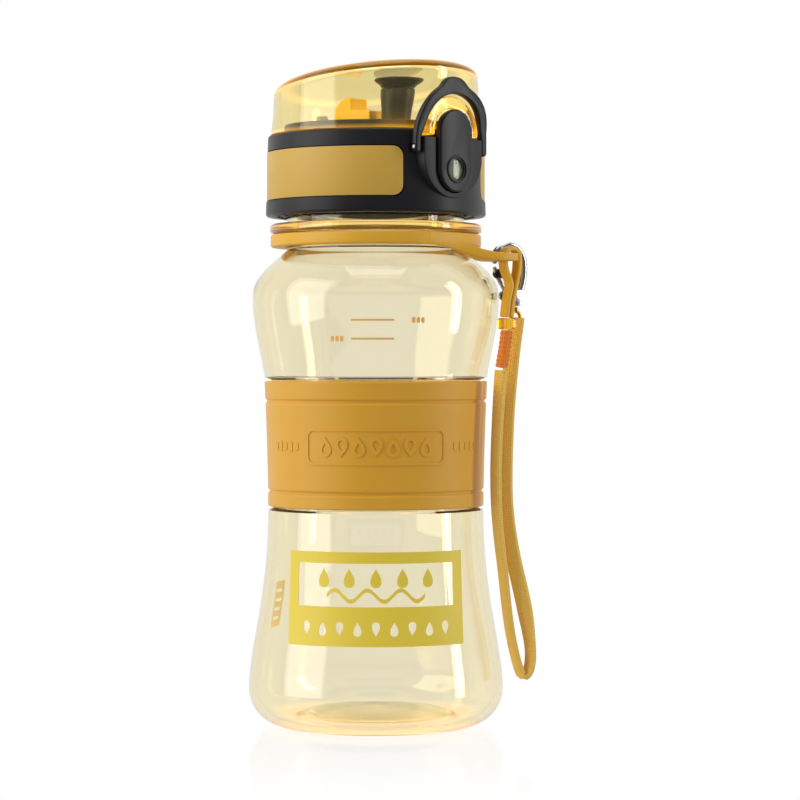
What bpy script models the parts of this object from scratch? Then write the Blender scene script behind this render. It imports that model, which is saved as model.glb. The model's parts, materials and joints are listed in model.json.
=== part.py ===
"""Kids water bottle with a flip-top screw lid, a grip sleeve and a wrist strap on a snap hook.

Frame: origin at the centre of the base, +Z up, the latch of the lid towards -Y and its hinge
along X at +Y. Heights are above the surface that the bottle stands on. Metres throughout.
"""

import math

import bmesh
import bpy
from mathutils import Matrix, Vector, geometry

MM = 0.001
GAP = 0.3 * MM  # room left between pieces that touch
STEPS = 40  # segments round the large turned pieces
SMALL_STEPS = 24  # segments round the small ones

# Bottle
FOOT_RADIUS = 35.3 * MM  # widest point, just above the foot's corner
FOOT_HEIGHT = 10.6 * MM
FOOT_CORNER = 11.0 * MM  # how far the rounded corner reaches in from the widest point
WAIST_RADIUS = 29.9 * MM  # under the sleeve
CHEST_RADIUS = 30.9 * MM  # above the sleeve
SHOULDER_RADIUS = 34.2 * MM
SHOULDER_HEIGHT = 118.5 * MM
BOTTLE_WALL = 2.0 * MM
PUNT_HEIGHT = 3.8 * MM
NECK_RADIUS = 24.65 * MM
NECK_BASE = 131.8 * MM
NECK_BORE = NECK_RADIUS - 2.75 * MM
FLANGE_REACH = 4.75 * MM
FLANGE_THICKNESS = 2.6 * MM
FLANGE_RISE = 4.5 * MM  # from the neck's base to the flange, the room for the strap's ring
FINISH_HEIGHT = 17.7 * MM  # from the flange's top to the rim

# Sleeve
SLEEVE_BOTTOM = 61.0 * MM
SLEEVE_HEIGHT = 34.6 * MM
SLEEVE_WALL = 1.6 * MM
SLEEVE_GROOVE = 0.5 * MM
SLEEVE_EDGE_BAND = 4.3 * MM  # height of the plain band outside each groove

# Thread between neck and liner
THREAD_LEAD = 4.0 * MM
THREAD_TURNS = 1.75
THREAD_WIDTH = 1.6 * MM
THREAD_DEPTH = 1.2 * MM
THREAD_RELIEF = 0.75 * MM  # the neck's skin is this much smaller where the thread is
THREAD_CLEARANCE = 0.4 * MM
THREAD_STEPS = 28

# Cap
CAP_LIFT = 2.1 * MM  # from the flange's top to the cap's bottom edge
CAP_HEIGHT = 22.3 * MM
CAP_RADIUS = 30.5 * MM
CAP_TAPER = 0.6 * MM
CAP_DECK = 2.6 * MM
LINER_WALL = 1.6 * MM
PLATFORM_HEIGHT = 2.5 * MM
PLATFORM_RADIUS = 25.4 * MM
GASKET_THICKNESS = 1.2 * MM
GASKET_WIDTH = 3.6 * MM
BAND_BOTTOM = 4.4 * MM  # above the cap's bottom edge
BAND_HEIGHT = 13.2 * MM
BAND_THICKNESS = 1.0 * MM
BAND_CORNER = 2.8 * MM
BAND_OPENING = math.radians(29.0)  # half the angle that the latch takes out of the band

# Dome
DOME_RADIUS = 29.2 * MM
DOME_DRAFT = 0.8 * MM
DOME_SHOULDER = 12.4 * MM  # from the dome's foot to where its corner starts
DOME_CROWN = 16.9 * MM  # from the dome's foot to its middle
DOME_CORNER = 4.4 * MM
DOME_WALL = 2.0 * MM
DOME_SLOPE = math.radians(7.5)  # the top rises towards the latch

# Hinge at the back
HINGE_Y = 31.0 * MM
HINGE_RISE = 0.6 * MM  # above the deck
HINGE_PIN_RADIUS = 0.8 * MM
HINGE_BARREL = 2.1 * MM
KNUCKLE = (2.4 * MM, 6.0 * MM)  # inner and outer end of the dome's knuckle
EAR = (6.3 * MM, 9.8 * MM)  # inner and outer end of the cap's ear
SPRING_WIRE = 0.3 * MM
SPRING_TURNS = 4

# Spout and vent
SPOUT_Y = -8.0 * MM
SPOUT_RADIUS = 4.0 * MM
SPOUT_BORE = 3.1 * MM
SPOUT_HEIGHT = 10.0 * MM  # above the platform
SPOUT_LIP = 0.7 * MM
SPOUT_LEAN = 0.09  # how far the spout leans towards the latch for each unit of height
STOPPER_RADIUS = 6.75 * MM
STOPPER_HEIGHT = 2.4 * MM
STOPPER_NOSE = 1.2 * MM
VENT_LENGTH = 7.0 * MM
VENT_WIDTH = 6.4 * MM
VENT_HEIGHT = 8.2 * MM
VENT_Y = 7.0 * MM
VALVE_RADIUS = 1.7 * MM
VALVE_HEIGHT = 4.0 * MM

# Latch at the front
LUG_OUTER = 9.8 * MM
LUG_INNER = 6.5 * MM
LUG_CENTRE = 162.7 * MM
LUG_REACH = 30.4 * MM  # from the bottle's axis to the lug's face
LUG_DROP = 1.0 * MM  # the lug's feet reach this far below its arch's centre
BUTTON_HALF_WIDTH = 6.15 * MM
BUTTON_BOTTOM = 146.6 * MM
BUTTON_FACE = 32.0 * MM
BUTTON_THICKNESS = 2.0 * MM
POCKET_FLOOR = BUTTON_FACE - 3.7 * MM  # behind the button, from the bottle's axis
BUTTON_PIVOT = (29.7 * MM, 157.6 * MM)  # distance from the bottle's axis, height
BUTTON_PIN_RADIUS = 0.5 * MM
BUTTON_HUB = 1.1 * MM
LENS_RADIUS = 2.7 * MM
LENS_HEIGHT = 152.7 * MM
LENS_DEPTH = 0.9 * MM
BOSS_HALF_WIDTH = LUG_OUTER + 1.1 * MM
BOSS_FACE = 30.8 * MM
BOSS_BOTTOM = 145.0 * MM
BOSS_TOP = 161.2 * MM
BAIL_PIVOT = (29.2 * MM, 158.3 * MM)
BAIL_EYE = (LUG_OUTER + 1.6 * MM, LUG_OUTER + 3.6 * MM)  # inner and outer face of each leg at its pin
BAIL_THICKNESS = 1.9 * MM
BAIL_EYE_RADIUS = 1.9 * MM
BAIL_PIN_RADIUS = 0.6 * MM
BAIL_INNER = LUG_OUTER + 0.4 * MM
BAIL_OUTER = BAIL_INNER + 2.9 * MM
BAIL_TAB = LUG_CENTRE + LUG_OUTER + 5.2 * MM
BAIL_LEAN = 1.9 * MM

# Strap's ring and tail
RING_HEIGHT = 3.4 * MM
RING_INNER = NECK_RADIUS + 0.45 * MM
RING_OUTER = RING_INNER + 4.1 * MM
TAIL_THICKNESS = 1.8 * MM
TAIL_INSET = 0.15 * MM  # the tail's ends lie this far under the skin of the ring and of the tab
HANG_ANGLE = math.radians(-58.7)  # where round the bottle the strap hangs
HANG_REACH = 37.1 * MM  # from the bottle's axis to the bar that it hangs on
HANG_HEIGHT = 129.5 * MM
TAIL_WIDTH = 10.0 * MM  # across the end with the slot
SLOT_WIDTH = 7.6 * MM
SLOT_LENGTH = 3.1 * MM
BAR = 1.4 * MM
TAB_HEIGHT = 2.2 * MM

# Tape, ferrule and hook
TAPE_WIDTH = 3.2 * MM
TAPE_THICKNESS = 1.2 * MM
TAPE_SIDE = -1.9 * MM  # along the bar, away from the hook
TAPE_SLACK = 1.1 * MM  # between the bar and the tape's bend
HOOK_SIDE = 2.1 * MM
HOOK_WIRE = 0.95 * MM
HOOK_FOOT = (4.8 * MM, -13.2 * MM)  # from the bar, along the tail and up
GATE_PIVOT = (1.9 * MM, -10.4 * MM)
GATE_WIRE = 0.62 * MM
GATE_HUB = (0.9 * MM, 2.6 * MM)  # radius and length
GATE_PIN_RADIUS = 0.4 * MM
GATE_CLEARANCE = 0.1 * MM  # round the pin and in the knob
CHEEK = 0.6 * MM
KNOB_RADIUS = 1.35 * MM
KNOB_REACH = (-2.6 * MM, 1.0 * MM)
KNOB_HEIGHT = -4.4 * MM
EYE_STEM = 1.3 * MM
EYE_STEM_RADIUS = 0.75 * MM
EYE_RING = 1.4 * MM
EYE_WIRE = 0.5 * MM
FERRULE = (4.0 * MM, 4.6 * MM, 3.2 * MM)
FERRULE_TOP = -16.6 * MM  # from the bar
FERRULE_ALONG = -1.2 * MM
FOLD = (3.2 * MM, 2.4 * MM)  # width and thickness of the webbing's sewn end
WEBBING_RADIUS = 0.9 * MM
LOOP_PLANE = math.radians(-43)  # direction in which the long loop spreads
LOOP_FOOT = 35.3 * MM  # the loop's route is drawn round a foot of this size, and moves out with a larger one

# Worked out from the sizes above
SLEEVE_TOP = SLEEVE_BOTTOM + SLEEVE_HEIGHT
FLANGE_BOTTOM = NECK_BASE + FLANGE_RISE
FLANGE_TOP = FLANGE_BOTTOM + FLANGE_THICKNESS
FLANGE_RADIUS = NECK_RADIUS + FLANGE_REACH
RIM = FLANGE_TOP + FINISH_HEIGHT
THREAD_ROOT = NECK_RADIUS - THREAD_RELIEF
THREAD_CREST = THREAD_ROOT + THREAD_DEPTH
LINER_BORE = THREAD_CREST + THREAD_CLEARANCE
LINER_CREST = THREAD_ROOT + THREAD_CLEARANCE
LINER_RADIUS = LINER_BORE + LINER_WALL
CAP_BOTTOM = FLANGE_TOP + CAP_LIFT
DECK_TOP = CAP_BOTTOM + CAP_HEIGHT
DECK_UNDERSIDE = DECK_TOP - CAP_DECK
GASKET_BOTTOM = RIM + GAP
PLATE_BOTTOM = GASKET_BOTTOM + GASKET_THICKNESS + GAP
PLATFORM_TOP = DECK_TOP + PLATFORM_HEIGHT
DOME_FOOT = DECK_TOP + GAP
HINGE_Z = DECK_TOP + HINGE_RISE
PIN_CLEARANCE = GAP
LUG_BACK = DOME_RADIUS - 0.8 * DOME_WALL  # the lug is rooted this far from the bottle's axis
HOOK_BEND = BAR / 2 + 0.85 * MM + HOOK_WIRE  # from the bar to the middle of the hook's wire


def clear_scene():
    for old in list(bpy.data.objects):
        bpy.data.objects.remove(old, do_unlink=True)


def collection(name):
    made = bpy.data.collections.new(name)
    bpy.context.scene.collection.children.link(made)
    return made


def material(name, colour, roughness=0.5, metallic=0.0):
    made = bpy.data.materials.new(name)
    made.use_nodes = True
    made.diffuse_color = (*colour, 1.0)
    shader = made.node_tree.nodes["Principled BSDF"]
    shader.inputs["Base Color"].default_value = (*colour, 1.0)
    shader.inputs["Roughness"].default_value = roughness
    shader.inputs["Metallic"].default_value = metallic
    return made


def place(name, data, finish=None):
    """An object of the bottle, or a cutter where it has no finish."""
    made = bpy.data.objects.new(name, data)
    if finish is None:
        CUTTERS.objects.link(made)
        made.hide_render = True
        made.display_type = "WIRE"
    else:
        PARTS.objects.link(made)
        data.materials.clear()
        data.materials.append(finish)
    return made


def smooth(made, degrees=35):
    made.data.shade_smooth()
    made.data.set_sharp_from_angle(angle=math.radians(degrees))
    return made


def solid_mesh(made):
    """The object as its modifiers leave it, made a plain mesh in its place, with its caps welded."""
    bpy.context.view_layer.update()
    graph = bpy.context.evaluated_depsgraph_get()
    mesh = bpy.data.meshes.new_from_object(made.evaluated_get(graph))
    work = bmesh.new()
    work.from_mesh(mesh)
    bmesh.ops.remove_doubles(work, verts=work.verts, dist=0.002 * MM)
    work.to_mesh(mesh)
    work.free()
    name, finish = made.name, made.data.materials[0] if made.data.materials else None
    matrix = made.matrix_world.copy()
    bpy.data.objects.remove(made, do_unlink=True)
    fresh = place(name, mesh, finish)
    mesh.name = name
    fresh.matrix_world = matrix
    return fresh


def turned(name, profile, finish=None, steps=STEPS, closed=False, at=(0, 0, 0)):
    """A profile of (radius, height) points turned about Z. Its outer side runs downwards."""
    mesh = bpy.data.meshes.new(name)
    points = [(radius, 0.0, height) for radius, height in profile]
    edges = [(i, i + 1) for i in range(len(points) - 1)]
    if closed:
        edges.append((len(points) - 1, 0))
    mesh.from_pydata(points, edges, [])
    made = place(name, mesh, finish)
    made.location = at
    screw = made.modifiers.new("turn", "SCREW")
    screw.steps = screw.render_steps = steps
    screw.use_merge_vertices = True
    screw.merge_threshold = 1e-6
    return made


def rod(name, start, end, radius, finish=None, steps=SMALL_STEPS):
    """A cylinder from one point to another."""
    start, end = Vector(start), Vector(end)
    mesh = bpy.data.meshes.new(name)
    work = bmesh.new()
    bmesh.ops.create_cone(work, cap_ends=True, segments=steps, radius1=radius, radius2=radius,
                          depth=(end - start).length)
    work.to_mesh(mesh)
    work.free()
    made = place(name, mesh, finish)
    turn = (end - start).to_track_quat("Z", "Y").to_matrix().to_4x4()
    made.matrix_world = Matrix.Translation((start + end) / 2) @ turn
    return made


def box(name, low, high, finish=None, rounding=0.0):
    """An upright box between two corners."""
    low, high = Vector(low), Vector(high)
    mesh = bpy.data.meshes.new(name)
    work = bmesh.new()
    bmesh.ops.create_cube(work, size=1.0)
    bmesh.ops.scale(work, vec=high - low, verts=work.verts)
    work.to_mesh(mesh)
    work.free()
    made = place(name, mesh, finish)
    made.location = (low + high) / 2
    if rounding:
        soften(made, rounding)
    return made


def soften(made, width, segments=2):
    bevel = made.modifiers.new("round", "BEVEL")
    bevel.width = width
    bevel.segments = segments
    bevel.limit_method = "ANGLE"
    return made


def plate(name, outlines, thickness, finish=None, facing="Y", at=0.0, rounding=0.0):
    """Flat outlines filled and thickened. Facing Y they lie in X and Z at y = at; facing X in Y and Z."""
    data = bpy.data.curves.new(name, "CURVE")
    data.dimensions = "2D"
    data.fill_mode = "BOTH"
    data.extrude = thickness / 2
    for outline in outlines:
        spline = data.splines.new("POLY")
        spline.points.add(len(outline) - 1)
        for point, (across, up) in zip(spline.points, outline):
            point.co = (across, up, 0, 1)
        spline.use_cyclic_u = True
    made = place(name, data, finish)
    if facing == "Y":
        made.rotation_euler = (math.pi / 2, 0, 0)
        made.location = (0, at, 0)
    else:
        made.rotation_euler = (math.pi / 2, 0, math.pi / 2)
        made.location = (at, 0, 0)
    made = solid_mesh(made)
    if rounding:
        soften(made, rounding)
    return made


def wire(name, points, radius, finish=None, sides=2):
    """A round tube along points."""
    data = bpy.data.curves.new(name, "CURVE")
    data.dimensions = "3D"
    data.bevel_depth = radius
    data.bevel_resolution = sides
    data.use_fill_caps = True
    spline = data.splines.new("POLY")
    spline.points.add(len(points) - 1)
    for point, where in zip(spline.points, points):
        point.co = (*where, 1)
    return place(name, data, finish)


def arc(centre, radius, start, end, count):
    """Points on an arc, from one angle in degrees to another, both ends included."""
    turns = (math.radians(start + (end - start) * i / count) for i in range(count + 1))
    return [(centre[0] + radius * math.cos(t), centre[1] + radius * math.sin(t)) for t in turns]


def curve(start, leave, arrive, end, count):
    """Points on a cubic curve with two handles, both ends included."""
    ends = [Vector((*p, 0)) for p in (start, leave, arrive, end)]
    return [(p.x, p.y) for p in geometry.interpolate_bezier(*ends, count + 1)]


def through(points, count):
    """A smooth curve through hand-chosen points, read at even steps."""
    known = [Vector(p) for p in points]
    padded = [2 * known[0] - known[1], *known, 2 * known[-1] - known[-2]]
    fine = []
    for a, b, c, d in zip(padded, padded[1:], padded[2:], padded[3:]):
        for t in (i / 12 for i in range(12)):
            fine.append(0.5 * (2 * b + (c - a) * t + (2 * a - 5 * b + 4 * c - d) * t * t
                               + (3 * b - a - 3 * c + d) * t ** 3))
    fine.append(known[-1])
    along = [0.0]
    for p, q in zip(fine, fine[1:]):
        along.append(along[-1] + (q - p).length)
    read, i = [], 0
    for k in range(count + 1):
        wanted = along[-1] * k / count
        while i < len(fine) - 2 and along[i + 1] < wanted:
            i += 1
        share = (wanted - along[i]) / (along[i + 1] - along[i])
        read.append(fine[i].lerp(fine[i + 1], min(max(share, 0.0), 1.0)))
    return read


def joined(made, other):
    step = made.modifiers.new("join", "BOOLEAN")
    step.operation = "UNION"
    step.object = other
    return made


def cut(made, *cutters):
    for cutter in cutters:
        step = made.modifiers.new("cut", "BOOLEAN")
        step.operation = "DIFFERENCE"
        step.object = cutter
    return made


def empty(name, at, turn=0.0):
    made = bpy.data.objects.new(name, None)
    PARTS.objects.link(made)
    made.empty_display_size = 5 * MM
    made.location = at
    made.rotation_euler = (0, 0, turn)
    bpy.context.view_layer.update()
    return made


def hang(pivot, *pieces):
    """The pieces keep their places and move with the empty on their joint's axis."""
    bpy.context.view_layer.update()
    for piece in pieces:
        piece.parent = pivot
        piece.matrix_parent_inverse = pivot.matrix_world.inverted()


# ------------------------------------------------------------------ bottle and sleeve

def body_outline(inset=0.0):
    """The bottle's side from the foot's flat ring to the neck's base, set in by a wall."""
    foot_centre = FOOT_RADIUS - FOOT_CORNER
    corner = [(foot_centre + (FOOT_CORNER - inset) * math.sin(t),
               FOOT_HEIGHT - (FOOT_HEIGHT - inset) * math.cos(t))
              for t in (math.radians(18 * i) for i in range(6))]
    waist = curve((FOOT_RADIUS - inset, FOOT_HEIGHT), (FOOT_RADIUS - inset, FOOT_HEIGHT + 11 * MM),
                  (WAIST_RADIUS - inset, SLEEVE_BOTTOM - 25 * MM),
                  (WAIST_RADIUS - inset, SLEEVE_BOTTOM - MM), 6)
    chest = curve((CHEST_RADIUS - inset, SLEEVE_TOP + MM),
                  (CHEST_RADIUS + 0.8 * MM - inset, SLEEVE_TOP + 7 * MM),
                  (SHOULDER_RADIUS - inset, SHOULDER_HEIGHT - 8 * MM),
                  (SHOULDER_RADIUS - inset, SHOULDER_HEIGHT), 4)
    slope = inset * 0.7
    shoulder = curve((SHOULDER_RADIUS - inset, SHOULDER_HEIGHT),
                     (SHOULDER_RADIUS - inset, SHOULDER_HEIGHT + 5.3 * MM - slope),
                     (NECK_RADIUS + 6.5 * MM - slope, NECK_BASE - 5.6 * MM - slope),
                     (NECK_RADIUS - slope, NECK_BASE - slope), 5)
    seat = SLEEVE_WALL + GAP
    recess = [(WAIST_RADIUS - seat - inset, SLEEVE_BOTTOM - GAP),
              (CHEST_RADIUS - seat - inset, SLEEVE_TOP + GAP)]
    return corner + waist[1:] + recess + chest + shoulder[1:]


def make_bottle():
    outside = body_outline()
    inside = body_outline(BOTTLE_WALL)
    foot_centre = FOOT_RADIUS - FOOT_CORNER
    neck = [(NECK_RADIUS, FLANGE_BOTTOM), (FLANGE_RADIUS - 0.8 * MM, FLANGE_BOTTOM),
            (FLANGE_RADIUS, FLANGE_BOTTOM + 0.8 * MM), (FLANGE_RADIUS, FLANGE_TOP - 0.8 * MM),
            (FLANGE_RADIUS - 0.8 * MM, FLANGE_TOP), (NECK_RADIUS, FLANGE_TOP),
            (NECK_RADIUS, FLANGE_TOP + CAP_LIFT + 0.5 * MM),
            (THREAD_ROOT, FLANGE_TOP + CAP_LIFT + 1.2 * MM), (THREAD_ROOT, RIM - 0.6 * MM),
            (THREAD_ROOT - 0.6 * MM, RIM), (NECK_BORE + 0.4 * MM, RIM), (NECK_BORE, RIM - 0.4 * MM)]
    punt = [(foot_centre - 2.2 * MM, 0.0), (foot_centre - 4.5 * MM, 1.6 * MM),
            (foot_centre - 9.5 * MM, PUNT_HEIGHT - 0.5 * MM), (0.0, PUNT_HEIGHT)]
    floor = [(r, h + BOTTLE_WALL) for r, h in punt[1:]]
    throat = [(NECK_BORE, NECK_BASE + 1.2 * MM)]
    profile = (floor[::-1] + inside + throat + neck[::-1] + outside[::-1] + punt)
    body = turned("bottle_body", profile, AMBER)
    ridge = thread("neck_thread", THREAD_ROOT - 0.4 * MM, THREAD_CREST, FLANGE_TOP + 6.2 * MM)
    joined(body, ridge)
    return body


def thread(name, root, crest, start, inward=False):
    """A helical ridge from root to crest, its middle starting at a height."""
    half, tip = THREAD_WIDTH / 2, THREAD_WIDTH / 4
    section = [(root, start - half), (root, start + half), (crest, start + tip), (crest, start - tip)]
    mesh = bpy.data.meshes.new(name)
    mesh.from_pydata([(r, 0, h) for r, h in section], [(0, 1), (1, 2), (2, 3), (3, 0)], [])
    made = place(name, mesh)
    screw = made.modifiers.new("wind", "SCREW")
    steps = round(THREAD_STEPS * THREAD_TURNS)
    screw.steps = screw.render_steps = steps
    screw.angle = 2 * math.pi * THREAD_TURNS
    screw.screw_offset = THREAD_LEAD * THREAD_TURNS
    made = solid_mesh(made)
    work = bmesh.new()
    work.from_mesh(made.data)
    bmesh.ops.holes_fill(work, edges=[e for e in work.edges if e.is_boundary])
    bmesh.ops.recalc_face_normals(work, faces=work.faces)
    work.to_mesh(made.data)
    work.free()
    return made


def make_sleeve():
    low, high = WAIST_RADIUS, CHEST_RADIUS
    groove_low = SLEEVE_BOTTOM + SLEEVE_EDGE_BAND
    groove_high = SLEEVE_TOP - SLEEVE_EDGE_BAND - 1.2 * MM
    outside = [(high, SLEEVE_TOP), (high + 0.2 * MM, SLEEVE_TOP - 0.4 * MM),
               (high, groove_high + MM), (high - SLEEVE_GROOVE, groove_high + 0.5 * MM),
               (high - SLEEVE_GROOVE, groove_high - 0.3 * MM), (high - 0.3 * MM, groove_high - 0.7 * MM),
               (low + 0.2 * MM, (SLEEVE_BOTTOM + SLEEVE_TOP) / 2), (low, groove_low + 0.8 * MM),
               (low - SLEEVE_GROOVE, groove_low + 0.3 * MM), (low - SLEEVE_GROOVE, groove_low - 0.3 * MM),
               (low, groove_low - 0.8 * MM), (low, SLEEVE_BOTTOM)]
    inside = [(low - SLEEVE_WALL, SLEEVE_BOTTOM), (high - SLEEVE_WALL, SLEEVE_TOP)]
    return turned("grip_sleeve", outside + inside, SILICONE, closed=True)


# ------------------------------------------------------------------ cap

def cap_radius(height):
    """The cap's outer radius at a height."""
    share = (height - CAP_BOTTOM) / CAP_HEIGHT
    return CAP_RADIUS - CAP_TAPER * share


def band_sheet(name, margin, radius, finish=None):
    """The band's outline with round corners, wrapped round the cap, as an open sheet."""
    low, high = CAP_BOTTOM + BAND_BOTTOM - margin, CAP_BOTTOM + BAND_BOTTOM + BAND_HEIGHT + margin
    reach = math.pi - BAND_OPENING + margin / radius
    corner = BAND_CORNER / radius
    stations = [(reach - corner + corner * math.sin(t), BAND_CORNER * (1 - math.cos(t)))
                for t in (math.radians(a) for a in (90, 60, 30, 0))]
    count = 36
    stations += [((reach - corner) * (1 - 2 * i / count), 0.0) for i in range(1, count)]
    stations += [(-turn, drop) for turn, drop in stations[3::-1]]
    mesh = bpy.data.meshes.new(name)
    work = bmesh.new()
    columns = []
    for turn, drop in stations:
        angle = math.pi / 2 + turn
        columns.append([work.verts.new((radius * math.cos(angle), radius * math.sin(angle), height))
                        for height in (low + drop, high - drop)])
    for (a, b), (c, d) in zip(columns, columns[1:]):
        work.faces.new((a, b, d, c))
    work.to_mesh(mesh)
    work.free()
    return place(name, mesh, finish)


def make_band():
    face = (cap_radius(CAP_BOTTOM + BAND_BOTTOM) + cap_radius(CAP_BOTTOM + BAND_BOTTOM + BAND_HEIGHT)) / 2
    band = band_sheet("lid_band", 0.0, face, BAND_SILICONE)
    shell = band.modifiers.new("thickness", "SOLIDIFY")
    shell.thickness = BAND_THICKNESS
    shell.offset = -1
    recess = band_sheet("band_recess", GAP, face + MM)
    shell = recess.modifiers.new("thickness", "SOLIDIFY")
    shell.thickness = BAND_THICKNESS + GAP + MM
    shell.offset = -1
    return band, recess


def make_cap(recess):
    outer_top = CAP_RADIUS - CAP_TAPER
    inner = LINER_RADIUS + GAP
    profile = [(0, PLATFORM_TOP), (PLATFORM_RADIUS - 0.5 * MM, PLATFORM_TOP),
               (PLATFORM_RADIUS, PLATFORM_TOP - 0.5 * MM), (PLATFORM_RADIUS, DECK_TOP),
               (outer_top - 0.6 * MM, DECK_TOP), (outer_top, DECK_TOP - 0.6 * MM),
               (CAP_RADIUS, CAP_BOTTOM + 0.8 * MM), (CAP_RADIUS - 0.8 * MM, CAP_BOTTOM),
               (inner, CAP_BOTTOM), (inner, DECK_UNDERSIDE), (0, DECK_UNDERSIDE)]
    cap = turned("lid_shell", profile, BLACK)
    boss_depth = BOSS_FACE - inner - 0.2 * MM
    boss_outline = (arc((0, BOSS_BOTTOM + BOSS_HALF_WIDTH), BOSS_HALF_WIDTH, 180, 360, 14)
                    + [(BOSS_HALF_WIDTH, BOSS_TOP), (-BOSS_HALF_WIDTH, BOSS_TOP)])
    boss = plate("latch_boss", [boss_outline], boss_depth, at=-BOSS_FACE + boss_depth / 2)
    ear_outline = (arc((HINGE_Y, HINGE_Z), HINGE_BARREL, -20, 180, 12)
                   + [(HINGE_Y - HINGE_BARREL, HINGE_Z - 3 * MM), (HINGE_Y - 2.2 * MM, HINGE_Z - 7 * MM)])
    ears = [plate(f"ear_{side}", [ear_outline], EAR[1] - EAR[0], facing="X",
                  at=sign * (EAR[0] + EAR[1]) / 2) for side, sign in (("left", -1), ("right", 1))]
    for piece in (boss, *ears):
        joined(cap, piece)
    half = BUTTON_HALF_WIDTH + 1.15 * GAP
    pocket_depth = 5 * MM
    pocket_outline = (arc((0, BUTTON_BOTTOM + BUTTON_HALF_WIDTH), half, 180, 360, 12)
                      + [(half, DECK_TOP + MM), (-half, DECK_TOP + MM)])
    pocket = plate("button_pocket", [pocket_outline], pocket_depth, at=-POCKET_FLOOR - pocket_depth / 2)
    notch = box("lug_notch", (-LUG_OUTER - GAP, -BUTTON_FACE - MM, LUG_CENTRE - LUG_DROP - GAP),
                (LUG_OUTER + GAP, -math.sqrt(LUG_BACK ** 2 - LUG_OUTER ** 2) + GAP, DECK_TOP + MM))
    relief_reach = KNUCKLE[1] + 0.15 * MM
    relief = rod("knuckle_relief", (-relief_reach, HINGE_Y, HINGE_Z), (relief_reach, HINGE_Y, HINGE_Z),
                 HINGE_BARREL + 0.4 * MM)
    hinge_hole = rod("hinge_hole", (-EAR[1] - MM, HINGE_Y, HINGE_Z), (EAR[1] + MM, HINGE_Y, HINGE_Z),
                     HINGE_PIN_RADIUS + PIN_CLEARANCE, steps=16)
    pin_hole = rod("button_pin_hole", (-BOSS_HALF_WIDTH + 1.2 * MM, -BUTTON_PIVOT[0], BUTTON_PIVOT[1]),
                   (BOSS_HALF_WIDTH - 1.2 * MM, -BUTTON_PIVOT[0], BUTTON_PIVOT[1]),
                   BUTTON_PIN_RADIUS + PIN_CLEARANCE, steps=12)
    eye_cuts = [rod(f"eye_cut_{side}", (sign * (BAIL_EYE[0] - GAP), -BAIL_PIVOT[0], BAIL_PIVOT[1]),
                    (sign * (BAIL_EYE[1] + 4 * MM), -BAIL_PIVOT[0], BAIL_PIVOT[1]), BAIL_EYE_RADIUS + 0.4 * MM)
                for side, sign in (("left", -1), ("right", 1))]
    bail_holes = [rod(f"bail_hole_{side}", (sign * (BAIL_EYE[0] - 2.1 * MM), -BAIL_PIVOT[0], BAIL_PIVOT[1]),
                      (sign * BAIL_EYE[1], -BAIL_PIVOT[0], BAIL_PIVOT[1]), BAIL_PIN_RADIUS + GAP, steps=12)
                  for side, sign in (("left", -1), ("right", 1))]
    spout_hole = rod("spout_hole", (0, SPOUT_Y, DECK_UNDERSIDE - MM), (0, SPOUT_Y, PLATFORM_TOP + MM),
                     SPOUT_RADIUS + GAP)
    cut(cap, recess, pocket, notch, relief, hinge_hole, pin_hole, *eye_cuts, *bail_holes, spout_hole)
    return cap


def make_liner():
    top = DECK_UNDERSIDE - GAP
    profile = [(0, top), (LINER_RADIUS, top), (LINER_RADIUS, CAP_BOTTOM + 0.4 * MM),
               (LINER_BORE, CAP_BOTTOM + 0.4 * MM), (LINER_BORE, PLATE_BOTTOM), (0, PLATE_BOTTOM)]
    liner = turned("lid_liner", profile, BLACK)
    ridge = thread("liner_thread", LINER_BORE + 0.4 * MM, LINER_CREST,
                   FLANGE_TOP + 6.2 * MM + THREAD_LEAD / 2)
    joined(liner, ridge)
    cut(liner, rod("liner_spout_hole", (0, SPOUT_Y, PLATE_BOTTOM - MM), (0, SPOUT_Y, top + MM),
                   SPOUT_RADIUS + GAP))
    return liner


def ring(name, inner, outer, bottom, top, finish, steps=STEPS, at=(0, 0, 0)):
    return turned(name, [(outer, top), (outer, bottom), (inner, bottom), (inner, top)], finish,
                  steps=steps, closed=True, at=at)


def lean(made, foot, amount, along):
    """Shears a piece with its height above its foot."""
    made = solid_mesh(made)
    work = bmesh.new()
    work.from_mesh(made.data)
    offset = made.matrix_world.translation.z
    for vertex in work.verts:
        rise = vertex.co.z + offset - foot
        if rise > 0:
            vertex.co += Vector(along) * (rise * amount)
    work.to_mesh(made.data)
    work.free()
    return made


def make_spout():
    foot = PLATE_BOTTOM - 1.7 * MM
    top = PLATFORM_TOP + SPOUT_HEIGHT
    profile = [(SPOUT_BORE, top), (SPOUT_RADIUS + SPOUT_LIP, top),
               (SPOUT_RADIUS + SPOUT_LIP / 2, top - 0.45 * SPOUT_HEIGHT),
               (SPOUT_RADIUS, PLATFORM_TOP + GAP), (SPOUT_RADIUS, foot), (SPOUT_BORE, foot)]
    spout = turned("spout", profile, BLACK, steps=SMALL_STEPS, closed=True, at=(0, SPOUT_Y, 0))
    return lean(spout, PLATFORM_TOP + GAP, SPOUT_LEAN, (0, -1, 0))


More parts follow.
